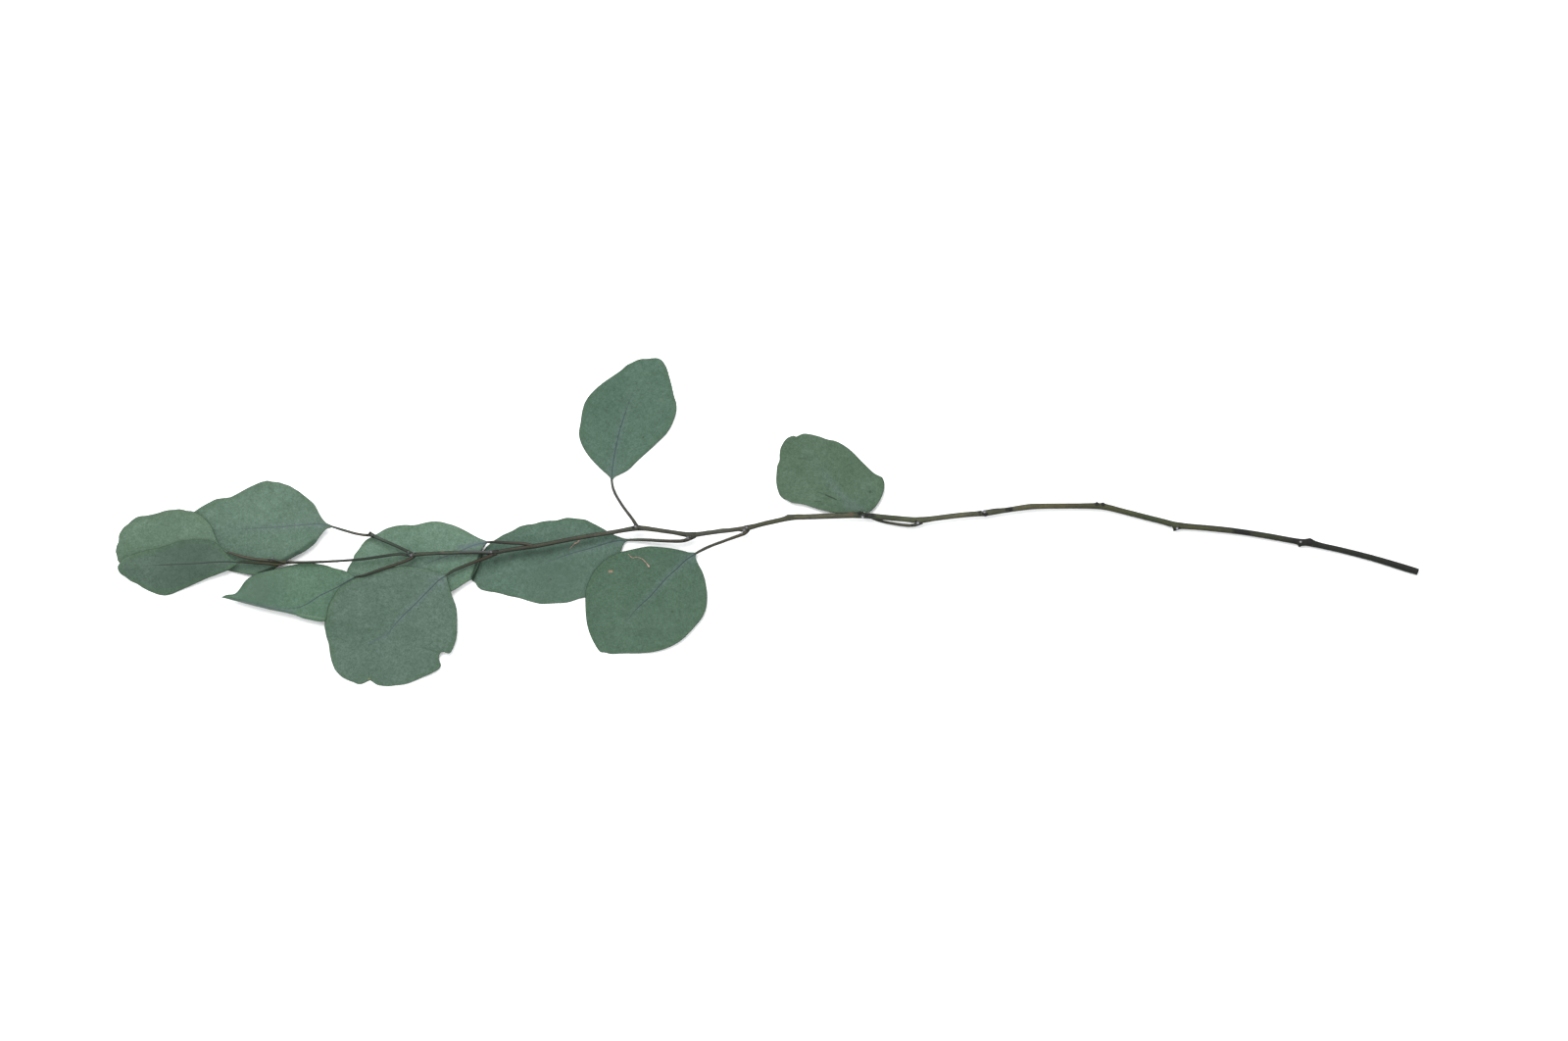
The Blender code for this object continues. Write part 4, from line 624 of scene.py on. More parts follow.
def make_wood(name, path, sides, seed, start="round", end="round"):
    """A woody axis with ridges, thickenings, dots of cork and, if it is cut, a cut face."""
    rng = np.random.default_rng(seed)
    path = np.array(path, float)
    xyzr = np.concatenate([place(path[:, :2]), path[:, 2:] * MM], axis=1)
    xyzr[:, 1] += 0.00010
    total = np.linalg.norm(np.diff(xyzr[:, :3], axis=0), axis=1).sum()
    rows = int(total / STEM_STEP)
    share = np.linspace(0.0, 1.0, rows)
    at = curve_at(xyzr, share)
    grid_x = curve_at(path[:, :2], share)[:, 0]
    ahead = np.gradient(at[:, :3], axis=0)
    ahead /= np.linalg.norm(ahead, axis=1, keepdims=True)
    across = np.stack([ahead[:, 1], -ahead[:, 0], 0 * ahead[:, 0]], axis=1)
    across /= np.linalg.norm(across, axis=1, keepdims=True)
    up = np.cross(across, ahead)
    up *= np.where(up[:, 2:3] < 0, -1, 1)
    s = share * total / MM
    angle = np.linspace(0, 2 * np.pi, sides, endpoint=False)
    r0 = at[:, 3:4] / MM
    # section: slightly oval, with shallow ridges that wander along the wood
    oval = 1 + 0.035 * np.cos(2 * (angle[None] - 0.02 * s[:, None] - rng.uniform(0, 6)))
    ridges = np.zeros((rows, sides))
    for k, size in ((3, 0.45), (5, 0.6), (8, 0.7), (11, 0.5), (14, 0.35)):
        drift = 0.10 * np.sin(s / rng.uniform(18, 40) + rng.uniform(0, 6)) + 0.0015 * s * rng.uniform(-1, 1)
        fade = 0.55 + 0.45 * np.sin(s / rng.uniform(5, 12) + rng.uniform(0, 6))
        ridges += size * fade[:, None] * np.cos(k * (angle[None] + drift[:, None]) + rng.uniform(0, 6))
    slow = 0.5 * np.sin(s / 5.3 + rng.uniform(0, 6)) + 0.5 * np.sin(s / 11.7 + rng.uniform(0, 6))
    r = r0 * oval * (1 + 0.016 * slow[:, None]) + 0.020 * r0 * ridges
    # fine cork dots and short cracks
    dots = int(total / MM * 0.42)
    for _ in range(dots):
        i, a0 = rng.integers(2, rows - 2), rng.uniform(0, 2 * np.pi)
        size, high = rng.uniform(0.16, 0.34), rng.uniform(0.03, 0.10) * rng.choice([1, 1, -0.7])
        a, b = max(i - 6, 0), min(i + 7, rows)
        turn = (angle[None] - a0 + np.pi) % (2 * np.pi) - np.pi
        d2 = ((s[a:b, None] - s[i]) / (size * 1.9)) ** 2 + (r0[a:b] * turn / size) ** 2
        r[a:b] += high * np.exp(-d2)
    lean = np.zeros((rows, sides))
    lift = np.zeros((rows, sides))
    for x, y, z, high, half_long, half_wide, tilt in BUMPS[name]:
        p = np.array([*place((x, y)), z * MM])
        i = int(np.argmin(((at[:, :2] - p[:2]) ** 2).sum(1)))
        off = p - at[i, :3]
        a0 = math.atan2(off @ up[i], off @ across[i])
        turn = (angle[None] - a0 + np.pi) % (2 * np.pi) - np.pi
        d2 = ((s[:, None] - s[i]) / half_long) ** 2 + (r0 * turn / half_wide) ** 2
        hump = np.exp(-d2 ** 0.85)
        lift += high * hump
        lean += tilt * hump
    r = r + lift
    wide = r + 0.13 * smooth_step(s, 0.0, 6.0)[:, None]
    points = (at[:, None, :3] + MM * (wide[..., None] * across[:, None] * np.cos(angle)[None, :, None]
              + r[..., None] * up[:, None] * np.sin(angle)[None, :, None]) + MM * lean[..., None] * ahead[:, None])
    points[..., 2] = np.maximum(points[..., 2], 0.00003)
    rings = [points[i] for i in range(rows)]
    cut = [0.0] * rows
    if start == "cut":
        # the cut is a little oblique, its rim slightly broken, the wood's face inside it
        slope = 0.05
        for i in range(10):
            k = (1 - i / 10) ** 1.5
            side_way = (rings[i] - at[i, :3]) @ across[i]
            rings[i] = rings[i] + ahead[i] * (k * slope * side_way)[:, None] * (1 if across[i][1] < 0 else -1)
        first, centre = rings[0], rings[0].mean(0)
        faces_in = []
        for f, sink in ((0.93, -0.06), (0.80, -0.02), (0.55, 0.02), (0.30, 0.04), (0.10, 0.08)):
            faces_in.append(centre + (first - centre) * f + ahead[0] * (sink * MM))
        rings = faces_in[::-1] + rings
        cut = [1.0] * len(faces_in) + cut
        front = [ahead[0]]
    else:
        cap = []
        for f in (0.25, 0.55, 0.8, 0.95):
            cap.append(at[0, :3] + (rings[0] - at[0, :3]) * f - ahead[0] * at[0, 3] * 0.75 * math.sqrt(1 - f * f))
        rings = cap + rings
        cut = [0.0] * len(cap) + cut
    tail = []
    for f in (0.95, 0.8, 0.55, 0.25):
        tail.append(at[-1, :3] + (rings[-1] - at[-1, :3]) * f + ahead[-1] * at[-1, 3] * 0.8 * math.sqrt(1 - f * f))
    rings += tail
    cut += [0.0] * len(tail)
    count = len(rings)
    pts = np.concatenate(rings)
    pts = np.concatenate([pts, [rings[0].mean(0)], [rings[-1].mean(0)]])
    pts[:, 2] = np.maximum(pts[:, 2], 0.00003)
    faces = []
    for i in range(count - 1):
        for j in range(sides):
            k = (j + 1) % sides
            faces.append((i * sides + j, i * sides + k, (i + 1) * sides + k, (i + 1) * sides + j))
    for j in range(sides):
        k = (j + 1) % sides
        faces.append((count * sides, j if False else k, j))
        faces.append((count * sides + 1, (count - 1) * sides + j, (count - 1) * sides + k))
    if volume(pts, faces) < 0:
        faces = [f[::-1] for f in faces]
    grow = np.interp(np.arange(count), np.arange(count), np.concatenate([
        np.full(count - rows - len(tail), grid_x[0]), grid_x, np.full(len(tail), grid_x[-1])]))
    lift_all = np.concatenate([np.zeros((count - rows - len(tail)) * sides), lift.ravel(), np.zeros(len(tail) * sides + 2)])
    before, after = count - rows - len(tail), len(tail)
    run = np.concatenate([np.full(before, s[0]), s, np.full(after, s[-1])])
    north = np.where(across[:, 1] < 0, -1.0, 1.0)
    north = np.concatenate([np.full(before, north[0]), north, np.full(after, north[-1])])
    values = {
        "run_mm": np.concatenate([np.repeat(run, sides), [run[0], run[-1]]]),
        "side": np.concatenate([(north[:, None] * np.cos(angle)[None]).ravel(), [0.0, 0.0]]),
        "top": np.concatenate([np.tile(np.sin(angle), count), [0.0, 0.0]]),
        "grow": np.concatenate([np.repeat(grow, sides), [grow[0], grow[-1]]]),
        "cut": np.concatenate([np.repeat(cut, sides), [cut[0], 0.0]]),
        "lift": np.minimum(lift_all, 1.0),
        "wax": marks_at(pts, WAX),
        "scar": marks_at(pts, SCARS),
    }
    obj = mesh_from(name + "_bark", pts, faces, values)
    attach(obj, "root")
    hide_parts(name)
    return obj


# ---------------------------------------------------------------- finishes
class Nodes:
    """Short ways to write a material's nodes."""

    def __init__(self, name):
        self.material = bpy.data.materials.new(name)
        self.material.use_nodes = True
        self.tree = self.material.node_tree
        self.shader = self.tree.nodes["Principled BSDF"]

    def put(self, kind, **settings):
        node = self.tree.nodes.new(kind)
        for key, value in settings.items():
            setattr(node, key, value)
        return node

    def join(self, value, socket):
        if isinstance(value, bpy.types.NodeSocket):
            self.tree.links.new(value, socket)
        elif isinstance(value, (tuple, list)):
            socket.default_value = (*value, 1.0) if len(value) == 3 and socket.type == "RGBA" else value
        else:
            socket.default_value = value

    def value(self, name):
        return self.put("ShaderNodeAttribute", attribute_type="GEOMETRY", attribute_name=name).outputs["Fac"]

    def math(self, operation, a, b=0.0, c=0.0, clamp=False):
        node = self.put("ShaderNodeMath", operation=operation, use_clamp=clamp)
        for socket, x in zip(node.inputs, (a, b, c)):
            self.join(x, socket)
        return node.outputs[0]

    def ramp(self, x, low, high, out_low=0.0, out_high=1.0, smooth=True):
        node = self.put("ShaderNodeMapRange", interpolation_type="SMOOTHSTEP" if smooth else "LINEAR")
        node.clamp = True
        for key, y in (("Value", x), ("From Min", low), ("From Max", high), ("To Min", out_low), ("To Max", out_high)):
            self.join(y, node.inputs[key])
        return node.outputs["Result"]

    def mix(self, amount, a, b, blend="MIX"):
        node = self.put("ShaderNodeMix", data_type="RGBA", blend_type=blend)
        self.join(amount, node.inputs["Factor"])
        self.join(a, node.inputs["A"] if False else node.inputs[6])
        self.join(b, node.inputs[7])
        return node.outputs[2]

    def object_coords(self):
        return self.put("ShaderNodeTexCoord").outputs["Object"]

    def noise(self, coords, scale, detail=3.0, rough=0.55, stretch=None, distort=0.0):
        if stretch:
            mapping = self.put("ShaderNodeMapping")
            self.join(coords, mapping.inputs["Vector"])
            mapping.inputs["Scale"].default_value = stretch
            coords = mapping.outputs["Vector"]
        node = self.put("ShaderNodeTexNoise")
        self.join(coords, node.inputs["Vector"])
        node.inputs["Scale"].default_value = scale
        node.inputs["Detail"].default_value = detail
        node.inputs["Roughness"].default_value = rough
        node.inputs["Distortion"].default_value = distort
        return node.outputs["Fac"]

    def bump(self, height, distance, strength=1.0, normal=None):
        node = self.put("ShaderNodeBump")
        node.inputs["Strength"].default_value = strength
        node.inputs["Distance"].default_value = distance
        self.join(height, node.inputs["Height"])
        if normal is not None:
            self.join(normal, node.inputs["Normal"])
        return node.outputs["Normal"]

    def spot(self, coords, grid_point, size, soft=0.35):
        """1 within size (mm) of a vertical line through a layout point, 0 outside."""
        x, y = place(grid_point)
        split = self.put("ShaderNodeSeparateXYZ")
        self.join(coords, split.inputs[0])
        dx = self.math("SUBTRACT", split.outputs[0], float(x))
        dy = self.math("SUBTRACT", split.outputs[1], float(y))
        d = self.math("SQRT", self.math("ADD", self.math("MULTIPLY", dx, dx), self.math("MULTIPLY", dy, dy)))
        return self.ramp(d, size * MM * (1 - soft), size * MM * (1 + soft), 1.0, 0.0)

    def streak(self, coords, a, b, size, soft=0.5):
        """1 near the segment between two layout points, as seen from above."""
        (ax, ay), (bx, by) = place(a), place(b)
        length2 = (bx - ax) ** 2 + (by - ay) ** 2
        split = self.put("ShaderNodeSeparateXYZ")
        self.join(coords, split.inputs[0])
        px = self.math("SUBTRACT", split.outputs[0], float(ax))
        py = self.math("SUBTRACT", split.outputs[1], float(ay))
        dot = self.math("ADD", self.math("MULTIPLY", px, float((bx - ax) / length2)),
                        self.math("MULTIPLY", py, float((by - ay) / length2)))
        h = self.math("MINIMUM", self.math("MAXIMUM", dot, 0.0), 1.0)
        dx = self.math("SUBTRACT", px, self.math("MULTIPLY", h, float(bx - ax)))
        dy = self.math("SUBTRACT", py, self.math("MULTIPLY", h, float(by - ay)))
        d = self.math("SQRT", self.math("ADD", self.math("MULTIPLY", dx, dx), self.math("MULTIPLY", dy, dy)))
        return self.ramp(d, size * MM * (1 - soft), size * MM * (1 + soft), 1.0, 0.0)


def tone(r, g, b, gain=1.0):
    """A colour as seen (0 to 255) to the linear value that the shader takes."""
    out = []
    for c in (r, g, b):
        c /= 255.0
        c = c / 12.92 if c <= 0.04045 else ((c + 0.055) / 1.055) ** 2.4
        out.append(c * gain)
    return tuple(out)


LEAF_GAIN = 0.404
WOOD_GAIN = 0.330


def leaf_material(name, look, length, number):
    n = Nodes(name + "_finish")
    xyz = n.object_coords()
    along, out, rim = n.value("along_mm"), n.value("out_mm"), n.value("rim_mm")
    stalk, under, side = n.value("stalk"), n.value("under"), n.value("side")
    wax, scar = n.value("wax"), n.value("scar")
    from_rib = n.math("ABSOLUTE", out)
    tint = look.get("tint", (1.0, 1.0, 1.0))

    def leaf_tone(r, g, b):
        return tuple(x * y for x, y in zip(tone(r, g, b, LEAF_GAIN), tint))

    shift = n.put("ShaderNodeMapping")
    n.join(xyz, shift.inputs["Vector"])
    shift.inputs["Location"].default_value = (0.37 * number, 0.19 * number, 0.0)
    at = shift.outputs["Vector"]
    clouds = n.noise(at, 55.0, 3.0, 0.55)
    patches = n.noise(at, 260.0, 3.0, 0.6)
    blotches = n.noise(at, 520.0, 2.0, 0.6)
    mottle = n.noise(at, 1150.0, 2.0, 0.6)
    grain = n.noise(at, 2900.0, 2.0, 0.55)

    green, pale, deep = leaf_tone(*look["green"]), leaf_tone(*look["pale"]), leaf_tone(*look["deep"])
    colour = n.mix(n.ramp(clouds, 0.30, 0.70), pale, green)
    colour = n.mix(n.ramp(patches, 0.46, 0.78, 0.0, 0.75), colour, deep)
    # greyer and bluer towards the stalk and along the midrib, greener towards the rim
    bloom = leaf_tone(*look.get("bloom", (112, 131, 130)))
    reach = n.math("MULTIPLY", n.ramp(along, 0.0, look.get("bloom_reach", 15.0), 1.0, 0.0),
                   n.ramp(from_rib, 1.0, 8.0, 1.0, 0.25))
    near_rib = n.math("MULTIPLY", n.ramp(from_rib, 0.3, 4.0, look.get("rib_bloom", 0.42), 0.0), n.ramp(along, length * 0.30, length * 0.90, 1.0, 0.10))
    colour = n.mix(n.math("MAXIMUM", n.math("MULTIPLY", reach, look.get("bloom_share", 0.70)), near_rib), colour, bloom)
    edge_green = leaf_tone(*look.get("edge", (86, 116, 88)))
    colour = n.mix(n.math("MULTIPLY", n.ramp(rim, 0.2, 4.2, 0.50, 0.0), n.ramp(patches, 0.25, 0.65, 0.45, 1.0)), colour, edge_green)
    # mottling and grain
    colour = n.mix(1.0, colour, n.mix(n.ramp(blotches, 0.25, 0.75, smooth=False), (0.77, 0.81, 0.76), (1.23, 1.19, 1.24)), "MULTIPLY")
    colour = n.mix(1.0, colour, n.mix(n.ramp(mottle, 0.25, 0.75, smooth=False), (0.70, 0.75, 0.69), (1.30, 1.25, 1.31)), "MULTIPLY")
    colour = n.mix(1.0, colour, n.mix(n.ramp(grain, 0.25, 0.75, smooth=False), (0.82, 0.84, 0.82), (1.18, 1.16, 1.18)), "MULTIPLY")
    # side veins: a fan of fine lines that leave the midrib forward and meet near the rim
    wander = n.math("MULTIPLY", n.math("SUBTRACT", n.noise(at, 110.0, 2.0, 0.5), 0.5), 7.0)
    lane = n.math("ADD", n.math("SUBTRACT", along, n.math("MULTIPLY", from_rib, 0.95)), wander)
    def lines(spacing, half):
        x = n.math("FRACT", n.math("ADD", n.math("DIVIDE", lane, spacing), 40.5))
        x = n.math("MULTIPLY", n.math("ABSOLUTE", n.math("SUBTRACT", x, 0.5)), spacing)
        return n.ramp(x, half * 0.25, half, 1.0, 0.0)
    fade = n.math("MULTIPLY", n.ramp(from_rib, 0.5, 2.5), n.ramp(rim, 0.6, 3.0))
    veins = n.math("MULTIPLY", lines(4.6, 0.34), fade)
    fine = n.math("MULTIPLY", lines(1.53, 0.20), fade)
    skin = n.put("ShaderNodeTexVoronoi", feature="DISTANCE_TO_EDGE")
    n.join(at, skin.inputs["Vector"])
    skin.inputs["Scale"].default_value = 900.0
    net = n.ramp(skin.outputs["Distance"], 0.0, 0.12, 1.0, 0.0)
    vein_colour = leaf_tone(*look.get("vein", (88, 110, 106)))
    colour = n.mix(n.math("MULTIPLY", veins, look.get("veins", 0.14)), colour, vein_colour)
    colour = n.mix(n.math("MULTIPLY", fine, 0.05), colour, vein_colour)
    colour = n.mix(n.math("MULTIPLY", net, 0.08), colour, deep)
    # the midrib itself
    rib_end = look.get("rib_end", 0.62)
    half_rib = n.ramp(along, 0.0, length, look.get("rib_width", 0.36), 0.16, smooth=False)
    rib = n.ramp(n.math("DIVIDE", from_rib, half_rib), 0.40, 1.10, 1.0, 0.0)
    rib_fade = n.ramp(along, length * rib_end, length * (rib_end + look.get("rib_fade", 0.30)), look.get("rib", 0.8) + 0.12, 0.0)
    colour = n.mix(n.math("MULTIPLY", rib, rib_fade), colour, leaf_tone(*look.get("rib_colour", (64, 76, 90))))
    # a thin dark rim, broken here and there by a paler line
    rim_dark = n.math("MULTIPLY", n.ramp(rim, 0.12, 0.52, 0.80, 0.0), n.ramp(patches, 0.25, 0.6, 0.75, 1.0))
    colour = n.mix(rim_dark, colour, leaf_tone(52, 76, 54))
    # underside: paler and greyer, its veins showing
    below = n.mix(n.ramp(clouds, 0.3, 0.7), tone(138, 156, 144, LEAF_GAIN), tone(124, 144, 132, LEAF_GAIN))
    below = n.mix(n.math("MULTIPLY", veins, 0.25), below, tone(104, 124, 112, LEAF_GAIN))
    below = n.mix(n.math("MULTIPLY", n.ramp(from_rib, 0.2, 0.7, 1.0, 0.0), 0.7), below, tone(122, 116, 104, LEAF_GAIN))
    colour = n.mix(n.math("MULTIPLY", under, n.ramp(rim, 0.05, 0.3)), colour, below)
    # specks and marks, and painted shade: the broad soft patches and the soft bands without mottling are painted shade
    # and painted shadow
    for kind, where, size, rgb, strength in look.get("spots", ()):
        if kind in ("streak", "shade"):
            mask = n.streak(xyz, where[0], where[1], size, 0.5 if kind == "streak" else 0.95)
        else:
            mask = n.spot(xyz, where, size, 0.35 if kind == "spot" else 0.95)
        mask = n.math("MULTIPLY", mask, n.math("SUBTRACT", 1.0, under))
        if kind not in ("shade_patch", "shade"):
            mask = n.math("MULTIPLY", mask, n.ramp(mottle, 0.25, 0.60, 0.55, 1.0))
        colour = n.mix(n.math("MULTIPLY", mask, strength), colour, tone(*rgb, LEAF_GAIN))
    specks = n.put("ShaderNodeTexVoronoi", feature="F1")
    n.join(at, specks.inputs["Vector"])
    specks.inputs["Scale"].default_value = 95.0
    dot = n.ramp(specks.outputs["Distance"], 0.020, 0.045, 1.0, 0.0)
    colour = n.mix(n.math("MULTIPLY", dot, 0.35), colour, tone(60, 74, 56, LEAF_GAIN))
    # the stalk: straight streaks, with painted shade along both its sides, deeper on the lower one
    wood_a, wood_b = look["stalk"]
    lengthwise = n.put("ShaderNodeCombineXYZ")
    for socket, x in zip(lengthwise.inputs, (n.math("MULTIPLY", along, 0.22), n.math("MULTIPLY", side, 0.9), float(number))):
        n.join(x, socket)
    streaks = n.noise(lengthwise.outputs[0], 2.1, 3.0, 0.6)
    across = n.math("ABSOLUTE", side)
    stalk_colour = n.mix(n.ramp(along, look.get("stalk_from", -22.0), look.get("stalk_to", -3.0)), tone(*wood_a, WOOD_GAIN), tone(*wood_b, WOOD_GAIN))
    stalk_colour = n.mix(1.0, stalk_colour, n.mix(streaks, (0.60, 0.60, 0.60), (1.40, 1.38, 1.34)), "MULTIPLY")
    stalk_colour = n.mix(1.0, stalk_colour, n.mix(mottle, (0.80, 0.80, 0.80), (1.20, 1.20, 1.20)), "MULTIPLY")
    painted_stalk_shade = n.math("MAXIMUM", n.ramp(across, 0.55, 0.90, 0.0, look.get("stalk_shade_depth", 0.85)),
                       n.ramp(side, look.get("stalk_low", -0.1), -0.75, 0.0, look.get("stalk_shade_depth", 0.75)))
    stalk_colour = n.mix(painted_stalk_shade, stalk_colour, tone(*look.get("stalk_dark", (32, 36, 28)), WOOD_GAIN))
    # painted shade on the stalk's underside
    stalk_colour = n.mix(n.math("MULTIPLY", under, 0.45), stalk_colour, tone(42, 44, 34, WOOD_GAIN))
    colour = n.mix(n.ramp(stalk, 0.18, 0.62), colour, stalk_colour)
    ragged = n.math("MULTIPLY", n.math("SUBTRACT", n.noise(xyz, 1700.0, 2.0, 0.6), 0.5), 0.8)
    colour = n.mix(n.ramp(n.math("ADD", scar, ragged), 0.30, 0.54, 0.0, 0.90), colour, tone(36, 36, 34, WOOD_GAIN))
    colour = n.mix(n.ramp(n.math("ADD", wax, ragged), 0.34, 0.54, 0.0, 0.92), colour,
                   n.mix(n.ramp(wax, 0.62, 0.86), tone(128, 128, 136, 0.44), tone(184, 188, 194, 0.48)))
    n.join(colour, n.shader.inputs["Base Color"])

    rough = n.math("ADD", n.ramp(mottle, 0.2, 0.8, 0.52, 0.64), n.math("MULTIPLY", stalk, 0.05))
    rough = n.math("SUBTRACT", rough, n.ramp(rim, 0.1, 0.8, 0.06, 0.0))
    n.join(rough, n.shader.inputs["Roughness"])
    n.shader.inputs["Metallic"].default_value = 0.0
    n.shader.inputs["Specular IOR Level"].default_value = 0.18

    relief = n.math("ADD", n.math("MULTIPLY", veins, -0.55), n.math("MULTIPLY", fine, -0.22))
    relief = n.math("ADD", relief, n.math("MULTIPLY", n.math("SUBTRACT", mottle, 0.5), 0.9))
    relief = n.math("ADD", relief, n.math("MULTIPLY", n.math("SUBTRACT", grain, 0.5), 0.6))
    relief = n.math("ADD", relief, n.math("MULTIPLY", net, -0.16))
    relief = n.math("ADD", relief, n.math("MULTIPLY", n.math("SUBTRACT", patches, 0.5), 1.2))
    n.join(n.bump(relief, 0.00006, 0.8), n.shader.inputs["Normal"])
    return n.material


# edge: how deep the painted shade on the wood's sides is; the colour after it is that painted shade's colour
def wood_material(name, stops, number, edge=0.92, wood_shade_colour=(26, 29, 23)):
    """Bark whose colour changes along the axis. stops: (grid x, body colour)."""
    n = Nodes(name + "_finish")
    xyz = n.object_coords()
    grow, cut, lift = n.value("grow"), n.value("cut"), n.value("lift")
    run, side, top = n.value("run_mm"), n.value("side"), n.value("top")
    wax, scar = n.value("wax"), n.value("scar")
    body = n.put("ShaderNodeValToRGB")
    low, high = stops[0][0], stops[-1][0]
    n.join(n.ramp(grow, low, high, smooth=False), body.inputs["Fac"])
    ramp = body.color_ramp
    ramp.interpolation = "EASE"
    while len(ramp.elements) > 1:
        ramp.elements.remove(ramp.elements[-1])
    ramp.elements[0].position = 0.0
    ramp.elements[0].color = (*tone(*stops[0][1], WOOD_GAIN), 1.0)
    for stop in stops[1:]:
        element = ramp.elements.new((stop[0] - low) / (high - low))
        element.color = (*tone(*stop[1], WOOD_GAIN), 1.0)
    def grained(stretch, scale, detail, rough):
        """Noise drawn out along the wood: coordinates in millimetres along and round it."""
        c = n.put("ShaderNodeCombineXYZ")
        for socket, x in zip(c.inputs, (n.math("MULTIPLY", run, stretch), n.math("MULTIPLY", side, 1.4),
                                        n.math("ADD", n.math("MULTIPLY", top, 1.4), 7.0 * number))):
            n.join(x, socket)
        return n.noise(c.outputs[0], scale, detail, rough)
    streaks = grained(0.16, 1.5, 4.0, 0.62)
    fibres = grained(0.30, 3.6, 3.0, 0.6)
    blotch = n.noise(xyz, 120.0, 3.0, 0.6)
    flecks = n.noise(xyz, 1500.0, 3.0, 0.6)
    grain = n.noise(xyz, 5200.0, 2.0, 0.5)
    colour = body.outputs["Color"]
    colour = n.mix(1.0, colour, n.mix(n.ramp(streaks, 0.30, 0.70), (0.70, 0.72, 0.70), (1.34, 1.32, 1.26)), "MULTIPLY")
    colour = n.mix(1.0, colour, n.mix(n.ramp(fibres, 0.30, 0.70), (0.80, 0.80, 0.80), (1.22, 1.22, 1.20)), "MULTIPLY")
    colour = n.mix(1.0, colour, n.mix(n.ramp(blotch, 0.35, 0.65), (0.84, 0.86, 0.88), (1.14, 1.12, 1.08)), "MULTIPLY")
    colour = n.mix(1.0, colour, n.mix(n.ramp(flecks, 0.3, 0.7, smooth=False), (0.82, 0.83, 0.84), (1.18, 1.17, 1.14)), "MULTIPLY")
    colour = n.mix(1.0, colour, n.mix(n.ramp(grain, 0.3, 0.7, smooth=False), (0.90, 0.90, 0.90), (1.10, 1.10, 1.10)), "MULTIPLY")
    cork = n.put("ShaderNodeTexVoronoi", feature="F1")
    n.join(xyz, cork.inputs["Vector"])
    cork.inputs["Scale"].default_value = 330.0
    dot = n.ramp(cork.outputs["Distance"], 0.06, 0.16, 1.0, 0.0)
    colour = n.mix(n.math("MULTIPLY", dot, 0.30), colour, tone(118, 112, 92, WOOD_GAIN))
    # painted shade: both sides darken towards their edges as if turned from the light, the lower one sooner, and most
    # where the wood lies over the leaves
    painted_wood_shade = n.math("MAXIMUM", n.ramp(n.math("ABSOLUTE", side), 0.66, 0.90, 0.0, edge),
                   n.math("MULTIPLY", n.ramp(side, -0.20, -0.80), n.ramp(grow, 650.0, 590.0, 0.22, 0.95)))
    painted_wood_shade = n.math("MULTIPLY", painted_wood_shade, n.ramp(streaks, 0.25, 0.65, 1.0, 0.78))
    colour = n.mix(painted_wood_shade, colour, tone(*wood_shade_colour, WOOD_GAIN))
    if name == "stem_bark":
        # a long dark line near the upper edge, a greyer top before the fork, small stains
        line = n.math("MULTIPLY", n.ramp(side, 0.46, 0.72), n.math("MULTIPLY", n.ramp(grow, 1198.0, 1215.0), n.ramp(grow, 1296.0, 1284.0)))
        colour = n.mix(n.math("MULTIPLY", line, 0.85), colour, tone(36, 40, 32, WOOD_GAIN))
        grey = n.math("MULTIPLY", n.ramp(grow, 506.0, 496.0), n.ramp(grow, 462.0, 478.0))
        grey = n.math("MULTIPLY", grey, n.ramp(side, -0.2, 0.3))
        colour = n.mix(n.math("MULTIPLY", grey, 0.6), colour, tone(120, 124, 126, WOOD_GAIN))
        colour = n.mix(n.math("MULTIPLY", n.spot(xyz, (451.5, 561.8), 0.9), 0.75), colour, tone(142, 112, 106, WOOD_GAIN))
        colour = n.mix(n.math("MULTIPLY", n.spot(xyz, (868.6, 524.2), 1.4), 0.55), colour, tone(128, 102, 88, WOOD_GAIN))
        colour = n.mix(n.math("MULTIPLY", n.streak(xyz, (882, 525.6), (892, 526.4), 0.95), 0.60), colour, tone(44, 58, 44, WOOD_GAIN))
        colour = n.mix(n.math("MULTIPLY", n.streak(xyz, (1008, 520.6), (1028, 518.0), 0.40), 0.55), colour, tone(66, 70, 60, WOOD_GAIN))
    ragged = n.math("MULTIPLY", n.math("SUBTRACT", n.noise(xyz, 1700.0, 2.0, 0.6), 0.5), 0.8)
    colour = n.mix(n.ramp(lift, 0.18, 0.7, 0.0, 0.45), colour, tone(52, 52, 44, WOOD_GAIN))
    colour = n.mix(n.ramp(n.math("ADD", scar, ragged), 0.30, 0.54, 0.0, 0.94), colour, tone(31, 32, 31, WOOD_GAIN))
    colour = n.mix(n.ramp(n.math("ADD", wax, ragged), 0.34, 0.54, 0.0, 0.94), colour,
                   n.mix(n.ramp(wax, 0.62, 0.86), tone(132, 132, 142, 0.44), tone(196, 200, 206, 0.50)))
    # the cut face: pale wood darkened by drying, with a darker ring of bark
    face = n.mix(n.noise(xyz, 2600.0, 3.0, 0.6), tone(96, 88, 70, WOOD_GAIN), tone(56, 52, 44, WOOD_GAIN))
    colour = n.mix(n.ramp(cut, 0.4, 0.6), colour, face)
    n.join(colour, n.shader.inputs["Base Color"])
    n.join(n.ramp(streaks, 0.3, 0.7, 0.56, 0.74, smooth=False), n.shader.inputs["Roughness"])
    n.shader.inputs["Specular IOR Level"].default_value = 0.17
    relief = n.math("ADD", n.math("MULTIPLY", streaks, 1.2), n.math("MULTIPLY", fibres, 0.9))
    relief = n.math("ADD", relief, n.math("MULTIPLY", flecks, 0.5))
    relief = n.math("ADD", relief, n.math("MULTIPLY", grain, 0.35))
    n.join(n.bump(relief, 0.00012, 0.8), n.shader.inputs["Normal"])
    return n.material


